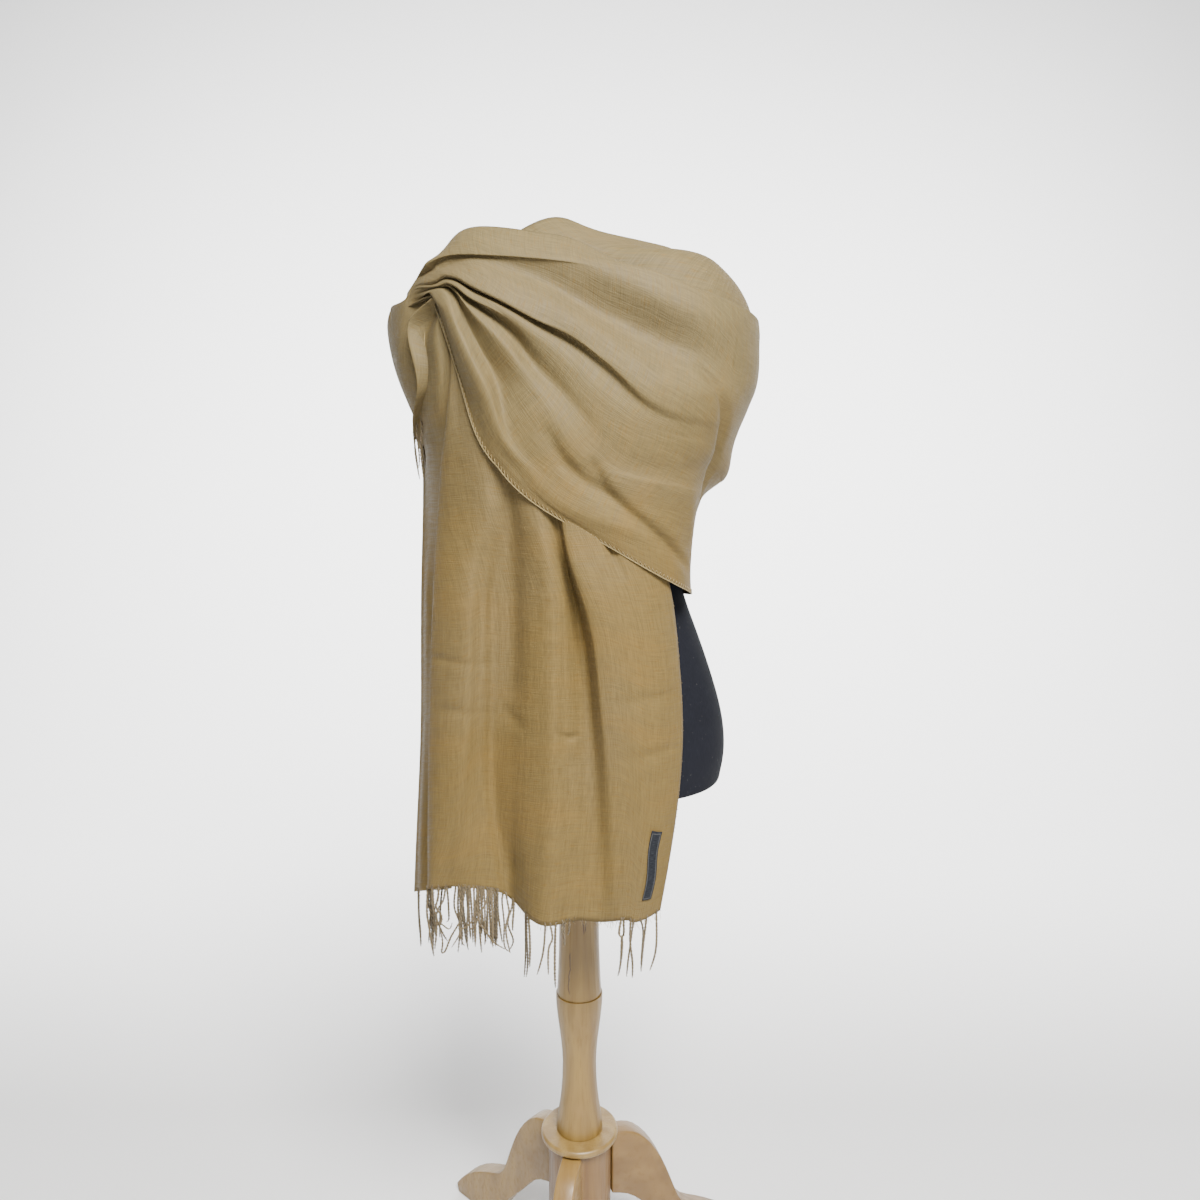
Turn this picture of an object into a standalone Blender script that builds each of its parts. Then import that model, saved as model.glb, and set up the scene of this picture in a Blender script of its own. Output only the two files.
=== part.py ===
"""Alpaca shawl wrapped across a limbless dress form on a turned wooden stand.

Metres, +Z up. The front of the display faces -Y, and +X is the viewer's right.
The shawl is one long cloth. Its first end hangs down the front from the shoulder on
the viewer's left, the cloth passes behind the neck and the back, comes over the
other shoulder, crosses the chest and is thrown back over the first shoulder.

The cloth is charted on one smooth hull round the form: a place on it is an angle
in degrees, from the front towards the viewer's right, and a rise in metres. Up to
CHEST the rise is the height of a level ray from the post's axis. Above it the rays
tilt up from the axis at CHEST, a radian for each TILT_ARC of rise. Each stretch of
cloth is a grid between guide lines on that hull, and "out" is how far it stands off
it in millimetres, so the layers lie over one another in a fixed order.
"""

import math

import bmesh
import bpy
import numpy as np
from mathutils import Vector

# Driving dimensions
CHEST = 1.03
TILT_ARC = 0.25
WALL = 0.002
SEAM_GAP = 0.0003
MM = 0.001

FORM_TURN = -15.0
FORM_SIDES = 26

DISC_TOP = 0.2115
DISC_BOTTOM = 0.2025
DISC_RADIUS = 0.048
ROUNDED_EDGE = 0.002
HUB_RADIUS = 0.039
HUB_BOTTOM = 0.088
POST_SIDES = 32

LEG_THICKNESS = 0.024
LEG_ANGLES = {"leg_front": -12.0, "leg_left": -132.0, "leg_right": 108.0}

FRINGE_LENGTH = 0.072
FRINGE_GAP = 0.0008

# Facets along and across each stretch of cloth
PANEL_STEPS = (22, 30)
BACK_STEPS = (28, 18)
CROSS_STEPS = (26, 24)
THROW_STEPS = (10, 12)
FRINGE_STEPS = 2
LABEL_STEPS = (6, 3)

# The hull: the reach of the cloth from its axis in eight directions, row by row
HULL = [
    # rise, front, front_right, right, back_right, back, back_left, left, front_left
    (0.45, 0.138, 0.158, 0.140, 0.150, 0.145, 0.150, 0.182, 0.176),
    (0.60, 0.138, 0.158, 0.140, 0.150, 0.145, 0.150, 0.182, 0.176),
    (0.75, 0.138, 0.158, 0.140, 0.150, 0.145, 0.150, 0.178, 0.172),
    (0.90, 0.138, 0.148, 0.117, 0.138, 0.125, 0.145, 0.168, 0.166),
    (1.03, 0.143, 0.158, 0.146, 0.144, 0.118, 0.142, 0.163, 0.166),
    (1.10, 0.150, 0.178, 0.190, 0.168, 0.125, 0.155, 0.178, 0.176),
    (1.16, 0.160, 0.200, 0.230, 0.195, 0.142, 0.192, 0.232, 0.196),
    (1.22, 0.182, 0.222, 0.264, 0.230, 0.175, 0.232, 0.268, 0.224),
    (1.28, 0.214, 0.249, 0.285, 0.262, 0.215, 0.258, 0.282, 0.254),
    (1.35, 0.250, 0.259, 0.272, 0.265, 0.252, 0.270, 0.282, 0.270),
    (1.4227, 0.272, 0.272, 0.272, 0.272, 0.272, 0.272, 0.272, 0.272),
]

# Guide lines of the stretches: the share of the width, then angle, rise and out
# at the stations along the stretch.

# From the hem up to the crest of the shoulder
PANEL = [
    (0.00, [(35.2, 0.560, 0), (45.2, 0.69, 0), (45.5, 0.82, 0), (39, 0.92, 0),
            (12, 1.06, 0), (-22, 1.23, 0), (-64, 1.345, 0)]),
    (0.22, [(13, 0.554, 2), (15, 0.69, 2), (9, 0.83, 1), (-4, 0.965, 0),
            (-18, 1.08, 0), (-40, 1.21, 0), (-71, 1.325, 0)]),
    (0.42, [(-17, 0.555, 2), (-18, 0.69, 1), (-21, 0.84, 0), (-24, 0.98, 0),
            (-33, 1.10, 0), (-49, 1.20, 0), (-78, 1.30, 0)]),
    (0.50, [(-22, 0.575, -24), (-26, 0.70, -14), (-29, 0.85, -6), (-33, 0.99, 0),
            (-40, 1.10, 0), (-54, 1.195, 2), (-82, 1.28, 0)]),
    (0.66, [(-45, 0.574, -22), (-46, 0.70, -12), (-47, 0.86, -4), (-47, 1.00, 0),
            (-52, 1.10, 1), (-60, 1.19, 4), (-86, 1.25, 0)]),
    (0.78, [(-72, 0.557, -2), (-71, 0.70, 0), (-71, 0.86, 0), (-71, 1.01, 1),
            (-70, 1.10, 2), (-71, 1.182, 6), (-91, 1.22, 0)]),
    (0.82, [(-75, 0.555, -8), (-75, 0.70, -7), (-75, 0.86, -6), (-76, 1.01, -5),
            (-78, 1.09, -4), (-86, 1.165, 0), (-96, 1.19, 0)]),
    (0.86, [(-69, 0.556, -16), (-68, 0.70, -14), (-68, 0.86, -13), (-68, 1.00, -13),
            (-74, 1.07, -12), (-93, 1.140, -4), (-99, 1.16, 0)]),
    (1.00, [(-46, 0.568, -34), (-44, 0.70, -28), (-44, 0.85, -20), (-46, 0.96, -18),
            (-58, 1.03, -15), (-92, 1.10, -8), (-104, 1.13, 0)]),
]

# From the crest of the left shoulder round the back to the right shoulder and side
BACK = [
    (0.00, [(-64.7, 1.345, 0), (-100, 1.370, 8), (-150, 1.375, 12), (-205, 1.370, 9),
            (-262, 1.352, 2), (-345, 1.375, 9), (-397, 1.325, -2)]),
    (0.25, [(-78.6, 1.30, 0), (-108, 1.31, 0), (-150, 1.31, 0), (-196, 1.305, 0),
            (-240, 1.30, 0), (-282, 1.280, -1), (-308, 1.25, -4)]),
    (0.50, [(-87.6, 1.245, 0), (-112, 1.23, 0), (-148, 1.19, 0), (-190, 1.165, 0),
            (-228, 1.17, 0), (-256, 1.18, -1), (-274, 1.19, -4)]),
    (0.75, [(-96.6, 1.19, 0), (-116, 1.12, 0), (-145, 1.05, 0), (-185, 1.01, 0),
            (-222, 1.00, 4), (-247, 1.025, 2), (-266, 1.05, -4)]),
    (1.00, [(-104.6, 1.13, 0), (-122, 1.02, 0), (-148, 0.93, 0), (-182, 0.875, 0),
            (-215, 0.86, 3), (-242, 0.87, 2), (-266, 0.90, 0)]),
]

# From the right side across the chest to the crest of the left shoulder
CROSS = [
    (0.00, [(99, 1.200, 1), (76, 1.208, 5), (52, 1.244, 6), (34, 1.282, 7),
            (6, 1.323, 8), (-27, 1.324, 9), (-70, 1.305, 12)]),
    (0.22, [(99, 1.150, 1), (71, 1.170, 5), (46, 1.170, 6), (28, 1.215, 7),
            (3, 1.268, 8), (-25, 1.281, 9), (-70, 1.272, 13)]),
    (0.45, [(99, 1.070, 3), (68, 1.083, 6), (38, 1.113, 7), (19, 1.163, 8),
            (-6, 1.221, 9), (-32, 1.243, 12), (-70, 1.262, 15)]),
    (0.70, [(99, 0.995, 4), (65, 1.006, 6), (29, 1.053, 7), (10, 1.129, 9),
            (-10, 1.203, 10), (-32, 1.234, 14), (-69, 1.254, 17)]),
    (0.87, [(99, 0.930, 5), (52, 0.948, 7), (21, 1.001, 8), (-1, 1.070, 9),
            (-22, 1.147, 10), (-39, 1.206, 13), (-67, 1.246, 17)]),
    (1.00, [(99, 0.885, 6), (47, 0.904, 6), (22, 0.940, 6), (-9, 0.981, 5),
            (-30, 1.038, 5), (-43, 1.155, 6), (-65, 1.235, 8)]),
]

# From the crest of the left shoulder to the fringed end behind it
THROW = [
    (0.00, [(-70.3, 1.305, 12), (-82, 1.272, 14), (-92, 1.222, 15), (-99, 1.165, 14),
            (-103, 1.10, 11)]),
    (0.35, [(-70.3, 1.267, 14), (-79.5, 1.25, 16), (-88, 1.21, 16), (-93, 1.155, 14),
            (-96, 1.09, 11)]),
    (0.70, [(-69.3, 1.254, 17), (-77, 1.238, 16), (-83, 1.195, 14), (-87, 1.14, 12),
            (-90, 1.085, 10)]),
    (1.00, [(-65.5, 1.235, 8), (-74, 1.222, 11), (-79, 1.18, 10), (-82, 1.13, 9),
            (-84, 1.08, 9)]),
]

# Largest folds: place along, share of the width, depth in mm (ridges negative), width
CROSS_FOLDS = [
    ("under the top ridge", [(0.30, 0.50, 0, 0.10), (0.50, 0.26, 6, 0.07),
                             (0.75, 0.16, 8, 0.06), (1.00, 0.16, 3, 0.06)]),
    ("crisp fold", [(0.40, 0.58, 0, 0.06), (0.60, 0.53, 9, 0.045),
                    (0.85, 0.50, 6, 0.04), (1.00, 0.50, 3, 0.05)]),
    ("long trough", [(0.25, 0.85, 0, 0.07), (0.50, 0.78, 7, 0.06),
                     (0.80, 0.68, 9, 0.05), (1.00, 0.64, 3, 0.05)]),
    ("short trough", [(0.55, 0.92, 0, 0.06), (0.75, 0.86, 6, 0.05),
                      (0.90, 0.82, 7, 0.05), (1.00, 0.80, 3, 0.05)]),
]
PANEL_FOLDS = [
    ("dart", [(0.00, 0.31, 3, 0.06), (0.25, 0.29, 8, 0.05), (0.42, 0.26, 7, 0.035),
              (0.52, 0.24, 0, 0.03)]),
]
BACK_FOLDS = [
    ("first swag", [(0.10, 0.40, 0, 0.06), (0.45, 0.44, 7, 0.07), (0.90, 0.48, 0, 0.06)]),
    ("second swag", [(0.05, 0.60, 0, 0.05), (0.50, 0.64, 8, 0.07), (0.90, 0.66, 0, 0.06)]),
    ("third swag", [(0.10, 0.80, 0, 0.05), (0.50, 0.83, 6, 0.06), (0.85, 0.84, 0, 0.05)]),
]

# Woven label: its corners as shares along and across the front panel
LABEL_CORNERS = [(0.115, 0.112), (0.117, 0.074), (0.025, 0.070), (0.023, 0.110)]
LABEL_THICKNESS = 0.0006
LABEL_LIFT = 1.7

# Dress form: half the width, half the depth and how far forward, by height
FORM_SECTIONS = [
    # height, half_width, half_depth, forward
    (0.667, 0.158, 0.108, 0.000),
    (0.675, 0.168, 0.117, 0.000),
    (0.695, 0.173, 0.121, 0.000),
    (0.735, 0.172, 0.120, 0.000),
    (0.790, 0.159, 0.112, 0.000),
    (0.850, 0.138, 0.098, 0.000),
    (0.915, 0.119, 0.087, 0.002),
    (0.965, 0.123, 0.092, 0.006),
    (1.010, 0.134, 0.103, 0.010),
    (1.060, 0.146, 0.113, 0.012),
    (1.105, 0.155, 0.107, 0.009),
    (1.150, 0.168, 0.090, 0.003),
    (1.185, 0.176, 0.074, -0.002),
    (1.210, 0.166, 0.064, -0.005),
    (1.228, 0.132, 0.058, -0.006),
    (1.242, 0.092, 0.054, -0.006),
    (1.256, 0.062, 0.050, -0.005),
    (1.272, 0.051, 0.048, -0.004),
    (1.284, 0.049, 0.046, -0.004),
]

# Turned post below the step: height and radius
POST_PROFILE = [
    (0.2118, 0.0287),
    (0.232, 0.0268),
    (0.262, 0.0226),
    (0.300, 0.0208),
    (0.330, 0.0228),
    (0.362, 0.0268),
    (0.382, 0.0286),
    (0.3917, 0.0287),
]
# Upper post, up to the plate under the form
UPPER_POST_PROFILE = [
    (0.3920, 0.0272),
    (0.430, 0.0255),
    (0.484, 0.0242),
    (0.560, 0.0242),
    (0.6567, 0.0242),
]
PLATE_PROFILE = [
    (0.6570, 0.042),
    (0.6600, 0.045),
    (0.6667, 0.045),
]

# One leg from the side: distance from the post's axis and height
LEG_TOP_EDGE = [
    (0.0394, 0.200), (0.060, 0.199), (0.075, 0.193), (0.092, 0.176), (0.107, 0.152),
    (0.120, 0.120), (0.130, 0.092), (0.140, 0.076), (0.165, 0.066), (0.195, 0.051),
    (0.220, 0.030), (0.234, 0.012),
]
LEG_BOTTOM_EDGE = [
    (0.230, 0.0), (0.160, 0.0), (0.144, 0.018), (0.128, 0.042), (0.114, 0.058),
    (0.098, 0.074), (0.080, 0.098), (0.060, 0.113), (0.0394, 0.118),
]


# Shapes

def spline(knots, rows):
    """A natural cubic spline through rows of values, to be read at any places."""
    knots = np.asarray(knots, float)
    rows = np.asarray(rows, float)
    last = len(knots) - 1
    gaps = np.diff(knots)
    slopes = np.diff(rows, axis=0) / gaps[:, None]
    system = np.eye(last + 1)
    pull = np.zeros_like(rows)
    for i in range(1, last):
        system[i, i - 1:i + 2] = gaps[i - 1], 2 * (gaps[i - 1] + gaps[i]), gaps[i]
        pull[i] = 6 * (slopes[i] - slopes[i - 1])
    bend = np.linalg.solve(system, pull)

    def read(places):
        i = np.clip(np.searchsorted(knots, places) - 1, 0, last - 1)
        step = (places - knots[i])[..., None]
        gap = gaps[i][..., None]
        slope = slopes[i] - gap * (2 * bend[i] + bend[i + 1]) / 6
        curve = bend[i] / 2 + step * (bend[i + 1] - bend[i]) / (6 * gap)
        return rows[i] + step * (slope + step * curve)

    return read


HULL_ROWS = np.array(HULL)
DIRECTIONS = HULL_ROWS.shape[1] - 1
HULL_WAVES = np.fft.rfft(HULL_ROWS[:, 1:], axis=1) / DIRECTIONS
WAVES_AT = spline(HULL_ROWS[:, 0], np.hstack([HULL_WAVES.real, HULL_WAVES.imag]))


def hull(angle, rise):
    """Points on the hull, from angles in degrees and rises."""
    turn = np.radians(angle)
    waves = WAVES_AT(rise)
    half = DIRECTIONS // 2
    reach = waves[..., 0] + waves[..., half] * np.cos(half * turn)
    for k in range(1, half):
        sine = waves[..., half + 1 + k] * np.sin(k * turn)
        reach = reach + 2 * (waves[..., k] * np.cos(k * turn) - sine)
    tilt = np.maximum(rise - CHEST, 0) / TILT_ARC
    level = reach * np.cos(tilt)
    height = np.minimum(rise, CHEST) + reach * np.sin(tilt)
    return np.stack([level * np.sin(turn), -level * np.cos(turn), height], axis=-1)


def stand_off(angle, rise, out):
    """Points that stand off the hull by out millimetres."""
    aside = 0.2
    above = 0.0005
    across = hull(angle + aside, rise) - hull(angle - aside, rise)
    up = hull(angle, rise + above) - hull(angle, rise - above)
    normal = np.cross(across, up)
    normal /= np.linalg.norm(normal, axis=-1, keepdims=True)
    return hull(angle, rise) + normal * out[..., None] * MM


def fold_depth(folds, along, across):
    """How many millimetres the folds press the cloth in at each place."""
    depth = np.zeros_like(along)
    for _, rows in folds:
        table = np.array(rows, float)
        read = spline(table[:, 0], table[:, 1:])
        inside = np.clip(along, table[0, 0], table[-1, 0])
        centre, deep, width = np.moveaxis(read(inside), -1, 0)
        depth += deep * np.exp(-((across - centre) / width) ** 2)
    return depth


def chart(guides, folds, along, across):
    """Angle, rise and out at places on a stretch, both shares from 0 to 1."""
    table = np.array([stations for _, stations in guides], float)
    shares = [share for share, _ in guides]
    last = table.shape[1] - 1
    by_width = spline(shares, np.eye(len(shares)))(across)
    by_length = spline(np.arange(last + 1), np.eye(last + 1))(along * last)
    angle, rise, out = np.einsum("nk,ksc,ns->cn", by_width, table, by_length)
    return angle, rise, out - fold_depth(folds, along, across)


def new_object(name, mesh_maker, material):
    """A named object whose mesh is made in a bmesh."""
    mesh = bpy.data.meshes.new(name)
    bm = bmesh.new()
    mesh_maker(bm)
    bm.to_mesh(mesh)
    bm.free()
    mesh.materials.append(material)
    obj = bpy.data.objects.new(name, mesh)
    bpy.context.scene.collection.objects.link(obj)
    obj.parent = display
    return obj


def sheet(name, place, steps, material, wall=WALL):
    """A wall of cloth on a grid: place takes shares along and across to points."""
    def make(bm):
        bmesh.ops.create_grid(bm, x_segments=steps[0], y_segments=steps[1], size=0.5)
        shares = np.array([vert.co[:2] for vert in bm.verts]) + 0.5
        for vert, point in zip(bm.verts, place(shares[:, 0], shares[:, 1])):
            vert.co = point

    cloth = new_object(name, make, material)
    thicken = cloth.modifiers.new("Wall", "SOLIDIFY")
    thicken.thickness = wall
    thicken.offset = 0
    cloth.data.shade_smooth()
    return cloth


def stretch(name, guides, folds, steps, material):
    """One stretch of the shawl, between its guide lines."""
    def place(along, across):
        return stand_off(*chart(guides, folds, along, across))

    return sheet(name, place, steps, material)


def fringe(name, guides, folds, end, steps, material):
    """The plain reach of the fringe, lying on down the hull from one end of a stretch."""
    def place(down, across):
        angle, rise, out = chart(guides, folds, np.full_like(across, end), across)
        return stand_off(angle, rise - FRINGE_GAP - FRINGE_LENGTH * down, out)

    return sheet(name, place, steps, material)


def turned(name, profile, sides, material):
    """A piece turned on the lathe from a profile of heights and radii, bottom first."""
    def make(bm):
        edge = [bm.verts.new((radius, 0, height)) for height, radius in profile]
        low = bm.verts.new((0, 0, profile[0][0]))
        high = bm.verts.new((0, 0, profile[-1][0]))
        line = [low] + edge + [high]
        edges = [bm.edges.new(pair) for pair in zip(line, line[1:])]
        bmesh.ops.spin(bm, geom=line + edges, axis=(0, 0, 1), cent=(0, 0, 0),
                       angle=2 * math.pi, steps=sides, use_merge=True)
        bmesh.ops.remove_doubles(bm, verts=bm.verts, dist=1e-5)
        bmesh.ops.recalc_face_normals(bm, faces=bm.faces)

    piece = new_object(name, make, material)
    piece.data.shade_smooth()
    piece.data.set_sharp_from_angle(angle=math.radians(40))
    return piece


def body(name, sections, sides, material):
    """The dress form: oval rings joined from the hips to the neck."""
    read = spline([row[0] for row in sections], [row[1:] for row in sections])
    heights = np.array([row[0] for row in sections])
    between = (heights[1:] + heights[:-1]) / 2
    levels = np.sort(np.concatenate([heights, between]))

    def make(bm):
        rings = []
        for level, (wide, deep, forward) in zip(levels, read(levels)):
            ring = []
            for k in range(sides):
                turn = 2 * math.pi * k / sides
                x = wide * math.sin(turn)
                y = -deep * math.cos(turn) - forward
                ring.append(bm.verts.new((x, y, level)))
            rings.append(ring)
        for lower, upper in zip(rings, rings[1:]):
            for k in range(sides):
                after = (k + 1) % sides
                bm.faces.new((lower[k], lower[after], upper[after], upper[k]))
        bm.faces.new(list(reversed(rings[0])))
        bm.faces.new(rings[-1])
        bmesh.ops.recalc_face_normals(bm, faces=bm.faces)

    form = new_object(name, make, material)
    form.rotation_euler.z = math.radians(FORM_TURN)
    form.data.shade_smooth()
    form.data.set_sharp_from_angle(angle=math.radians(50))
    return form


def leg(name, angle, material):
    """A sawn leg: its side outline given the leg's thickness, set round the hub."""
    outline = LEG_TOP_EDGE + LEG_BOTTOM_EDGE

    def make(bm):
        side = [bm.verts.new((reach, -LEG_THICKNESS / 2, height)) for reach, height in outline]
        face = bm.faces.new(side)
        swept = bmesh.ops.extrude_face_region(bm, geom=[face])["geom"]
        moved = [item for item in swept if isinstance(item, bmesh.types.BMVert)]
        bmesh.ops.translate(bm, verts=moved, vec=(0, LEG_THICKNESS, 0))
        bmesh.ops.recalc_face_normals(bm, faces=bm.faces)

    piece = new_object(name, make, material)
    # An angle of 0 points at the front, so the outline's +X is turned there first.
    piece.rotation_euler.z = math.radians(angle - 90)
    return piece


def label(name, material):
    """The bare woven label, its middle LABEL_LIFT millimetres off the front panel's."""
    corners = np.array(LABEL_CORNERS)

    def place(down, across):
        top = corners[0] + (corners[1] - corners[0]) * across[:, None]
        foot = corners[3] + (corners[2] - corners[3]) * across[:, None]
        panel_along, panel_across = (top + (foot - top) * down[:, None]).T
        angle, rise, out = chart(PANEL, PANEL_FOLDS, panel_along, panel_across)
        return stand_off(angle, rise, out + LABEL_LIFT)

    return sheet(name, place, LABEL_STEPS, material, LABEL_THICKNESS)


def finish(name, colour, roughness, sheen=0.0):
    """A plain material: colour, roughness and the sheen of cloth."""
    material = bpy.data.materials.new(name)
    material.use_nodes = True
    shader = material.node_tree.nodes["Principled BSDF"]
    shader.inputs["Base Color"].default_value = (*colour, 1)
    shader.inputs["Roughness"].default_value = roughness
    shader.inputs["Metallic"].default_value = 0
    shader.inputs["Sheen Weight"].default_value = sheen
    return material


def centre_on_origin():
    """Stand the whole display on the ground, its box centred on the origin."""
    bpy.context.view_layer.update()
    graph = bpy.context.evaluated_depsgraph_get()
    low = Vector((math.inf,) * 3)
    high = -low
    for obj in display.children:
        shape = obj.evaluated_get(graph)
        for corner in shape.bound_box:
            world = obj.matrix_world @ Vector(corner)
            low = Vector(map(min, low, world))
            high = Vector(map(max, high, world))
    middle = (low + high) / 2
    display.location = (-middle.x, -middle.y, -low.z)


for old in list(bpy.data.objects):
    bpy.data.objects.remove(old, do_unlink=True)

display = bpy.data.objects.new("display", None)
bpy.context.scene.collection.objects.link(display)

alpaca = finish("alpaca", (0.36, 0.27, 0.14), 0.75, 0.3)
jersey = finish("jersey", (0.018, 0.02, 0.024), 0.85)
wood = finish("wood", (0.60, 0.42, 0.24), 0.5)
woven_label = finish("woven label", (0.03, 0.035, 0.05), 0.7)

body("dress_form", FORM_SECTIONS, FORM_SIDES, jersey)
turned("form_plate", PLATE_PROFILE, POST_SIDES, wood)
turned("upper_post", UPPER_POST_PROFILE, POST_SIDES, wood)
turned("lower_post", POST_PROFILE, POST_SIDES, wood)
turned("collar_disc", [(DISC_BOTTOM, DISC_RADIUS - ROUNDED_EDGE),
                       (DISC_BOTTOM + ROUNDED_EDGE, DISC_RADIUS),
                       (DISC_TOP - ROUNDED_EDGE, DISC_RADIUS),
                       (DISC_TOP, DISC_RADIUS - ROUNDED_EDGE)], POST_SIDES, wood)
turned("hub", [(HUB_BOTTOM, HUB_RADIUS - ROUNDED_EDGE),
               (HUB_BOTTOM + ROUNDED_EDGE, HUB_RADIUS),
               (DISC_BOTTOM - SEAM_GAP, HUB_RADIUS)], POST_SIDES, wood)
for leg_name, leg_angle in LEG_ANGLES.items():
    leg(leg_name, leg_angle, wood)

stretch("shawl_front_panel", PANEL, PANEL_FOLDS, PANEL_STEPS, alpaca)
stretch("shawl_back_stretch", BACK, BACK_FOLDS, BACK_STEPS, alpaca)
stretch("shawl_cross_stretch", CROSS, CROSS_FOLDS, CROSS_STEPS, alpaca)
stretch("shawl_throw", THROW, [], THROW_STEPS, alpaca)
fringe("front_fringe", PANEL, PANEL_FOLDS, 0.0, (FRINGE_STEPS, PANEL_STEPS[1]), alpaca)
fringe("throw_fringe", THROW, [], 1.0, (FRINGE_STEPS, THROW_STEPS[1]), alpaca)
label("shawl_label", woven_label)

centre_on_origin()
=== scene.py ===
import math

import bmesh
import bpy
import numpy as np
from mathutils import Matrix, Vector


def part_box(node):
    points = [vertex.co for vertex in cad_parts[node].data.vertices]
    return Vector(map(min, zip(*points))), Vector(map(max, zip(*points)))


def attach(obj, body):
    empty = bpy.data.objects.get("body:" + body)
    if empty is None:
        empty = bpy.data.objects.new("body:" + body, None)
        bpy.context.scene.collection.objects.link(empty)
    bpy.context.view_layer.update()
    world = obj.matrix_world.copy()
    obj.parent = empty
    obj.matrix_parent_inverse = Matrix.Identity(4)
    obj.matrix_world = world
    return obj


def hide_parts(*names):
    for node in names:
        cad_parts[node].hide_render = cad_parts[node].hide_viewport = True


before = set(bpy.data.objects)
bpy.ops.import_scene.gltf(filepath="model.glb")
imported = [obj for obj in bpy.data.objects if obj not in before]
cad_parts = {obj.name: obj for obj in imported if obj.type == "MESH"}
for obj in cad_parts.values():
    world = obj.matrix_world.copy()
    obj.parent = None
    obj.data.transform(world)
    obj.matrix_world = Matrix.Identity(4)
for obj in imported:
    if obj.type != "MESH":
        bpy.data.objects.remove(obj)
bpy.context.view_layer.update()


# ---- The turned wooden stand -------------------------------------------------------
# A post in two lengths, its plate, a collar disc and a hub turned from pale pine, and
# three legs sawn from board with softened edges, all thinly varnished. The legs are fixed
# to the hub, and the post stands on the disc that covers it.

post_low, post_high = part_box("upper_post")
AXIS = (Vector(post_low) + Vector(post_high)) / 2
AXIS.z = 0


def new_mesh(name, build, material, nodes=(), sharp=None):
    """A finished object whose mesh is made in a bmesh round the post's axis; its edges
    over sharp degrees stay crisp."""
    mesh = bpy.data.meshes.new(name)
    bm = bmesh.new()
    build(bm)
    bmesh.ops.translate(bm, verts=bm.verts, vec=AXIS)
    bm.to_mesh(mesh)
    bm.free()
    mesh.shade_smooth()
    if sharp:
        mesh.set_sharp_from_angle(angle=math.radians(sharp))
    mesh.materials.append(material)
    obj = bpy.data.objects.new(name, mesh)
    bpy.context.scene.collection.objects.link(obj)
    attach(obj, "root")
    if nodes:
        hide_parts(*nodes)
    return obj


def feed(tree, socket, value):
    """Link a socket to another one, or give it a constant."""
    if isinstance(value, bpy.types.NodeSocket):
        tree.links.new(value, socket)
    else:
        socket.default_value = value


def add(tree, kind, settings=None, **inputs):
    """A shader node with its settings and its inputs, by name or as i0, i1 by number."""
    node = tree.nodes.new(kind)
    for key, value in (settings or {}).items():
        setattr(node, key, value)
    for key, value in inputs.items():
        numbered = key[0] == "i" and key[1:].isdigit()
        feed(tree, node.inputs[int(key[1:]) if numbered else key.replace("_", " ")], value)
    return node


SURFACE = [("Color", "NodeSocketColor"), ("Roughness", "NodeSocketFloat"),
           ("Height", "NodeSocketFloat")]


def effect_group(name, inputs):
    """A shader node group that puts out a surface, and its two end nodes."""
    tree = bpy.data.node_groups.new(name, "ShaderNodeTree")
    for label, kind, value in inputs:
        socket = tree.interface.new_socket(label, in_out="INPUT", socket_type=kind)
        socket.default_value = value
    for label, kind in SURFACE:
        tree.interface.new_socket(label, in_out="OUTPUT", socket_type=kind)
    return tree, tree.nodes.new("NodeGroupInput"), tree.nodes.new("NodeGroupOutput")


def new_material(name):
    """A material with its node tree and its Principled shader."""
    material = bpy.data.materials.new(name)
    material.use_nodes = True
    return material, material.node_tree, material.node_tree.nodes["Principled BSDF"]


def mixed(tree, factor, first, second):
    """A colour mixed from two."""
    return add(tree, "ShaderNodeMix", {"data_type": "RGBA", "clamp_factor": True},
               i0=factor, i6=first, i7=second).outputs[2]


def ramp(tree, value, low, high, start=0.0, end=1.0):
    """A value eased from one range into another, held inside it."""
    return add(tree, "ShaderNodeMapRange", {"interpolation_type": "SMOOTHSTEP"}, Value=value,
               From_Min=low, From_Max=high, To_Min=start, To_Max=end).outputs[0]


def sum_of(tree, operation, first, second=0.0):
    """One sum on two values."""
    return add(tree, "ShaderNodeMath", {"operation": operation}, i0=first, i1=second).outputs[0]


def plus(tree, first, *others):
    """Values added up."""
    for other in others:
        first = sum_of(tree, "ADD", first, other)
    return first


def times(tree, first, *others):
    """Values multiplied together."""
    for other in others:
        first = sum_of(tree, "MULTIPLY", first, other)
    return first


def noise(tree, place, scale, detail, **settings):
    """A noise pattern's value at a place."""
    return add(tree, "ShaderNodeTexNoise", settings, Vector=place, Scale=scale,
               Detail=detail).outputs[0]


def stretched(tree, place, by):
    """A place stretched along its axes, so that a pattern read there runs one way."""
    return add(tree, "ShaderNodeVectorMath", {"operation": "MULTIPLY"}, i0=place, i1=by).outputs[0]


def raised(tree, shader, height, strength, distance):
    """Give a shader's surface the bumps of a height."""
    bump = add(tree, "ShaderNodeBump", Height=height, Strength=strength, Distance=distance)
    tree.links.new(bump.outputs[0], shader.inputs["Normal"])


def finish(shader, **values):
    """Set the shader's own sockets that are the same all over the surface."""
    for key, value in values.items():
        shader.inputs[key.replace("_", " ")].default_value = value


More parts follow.
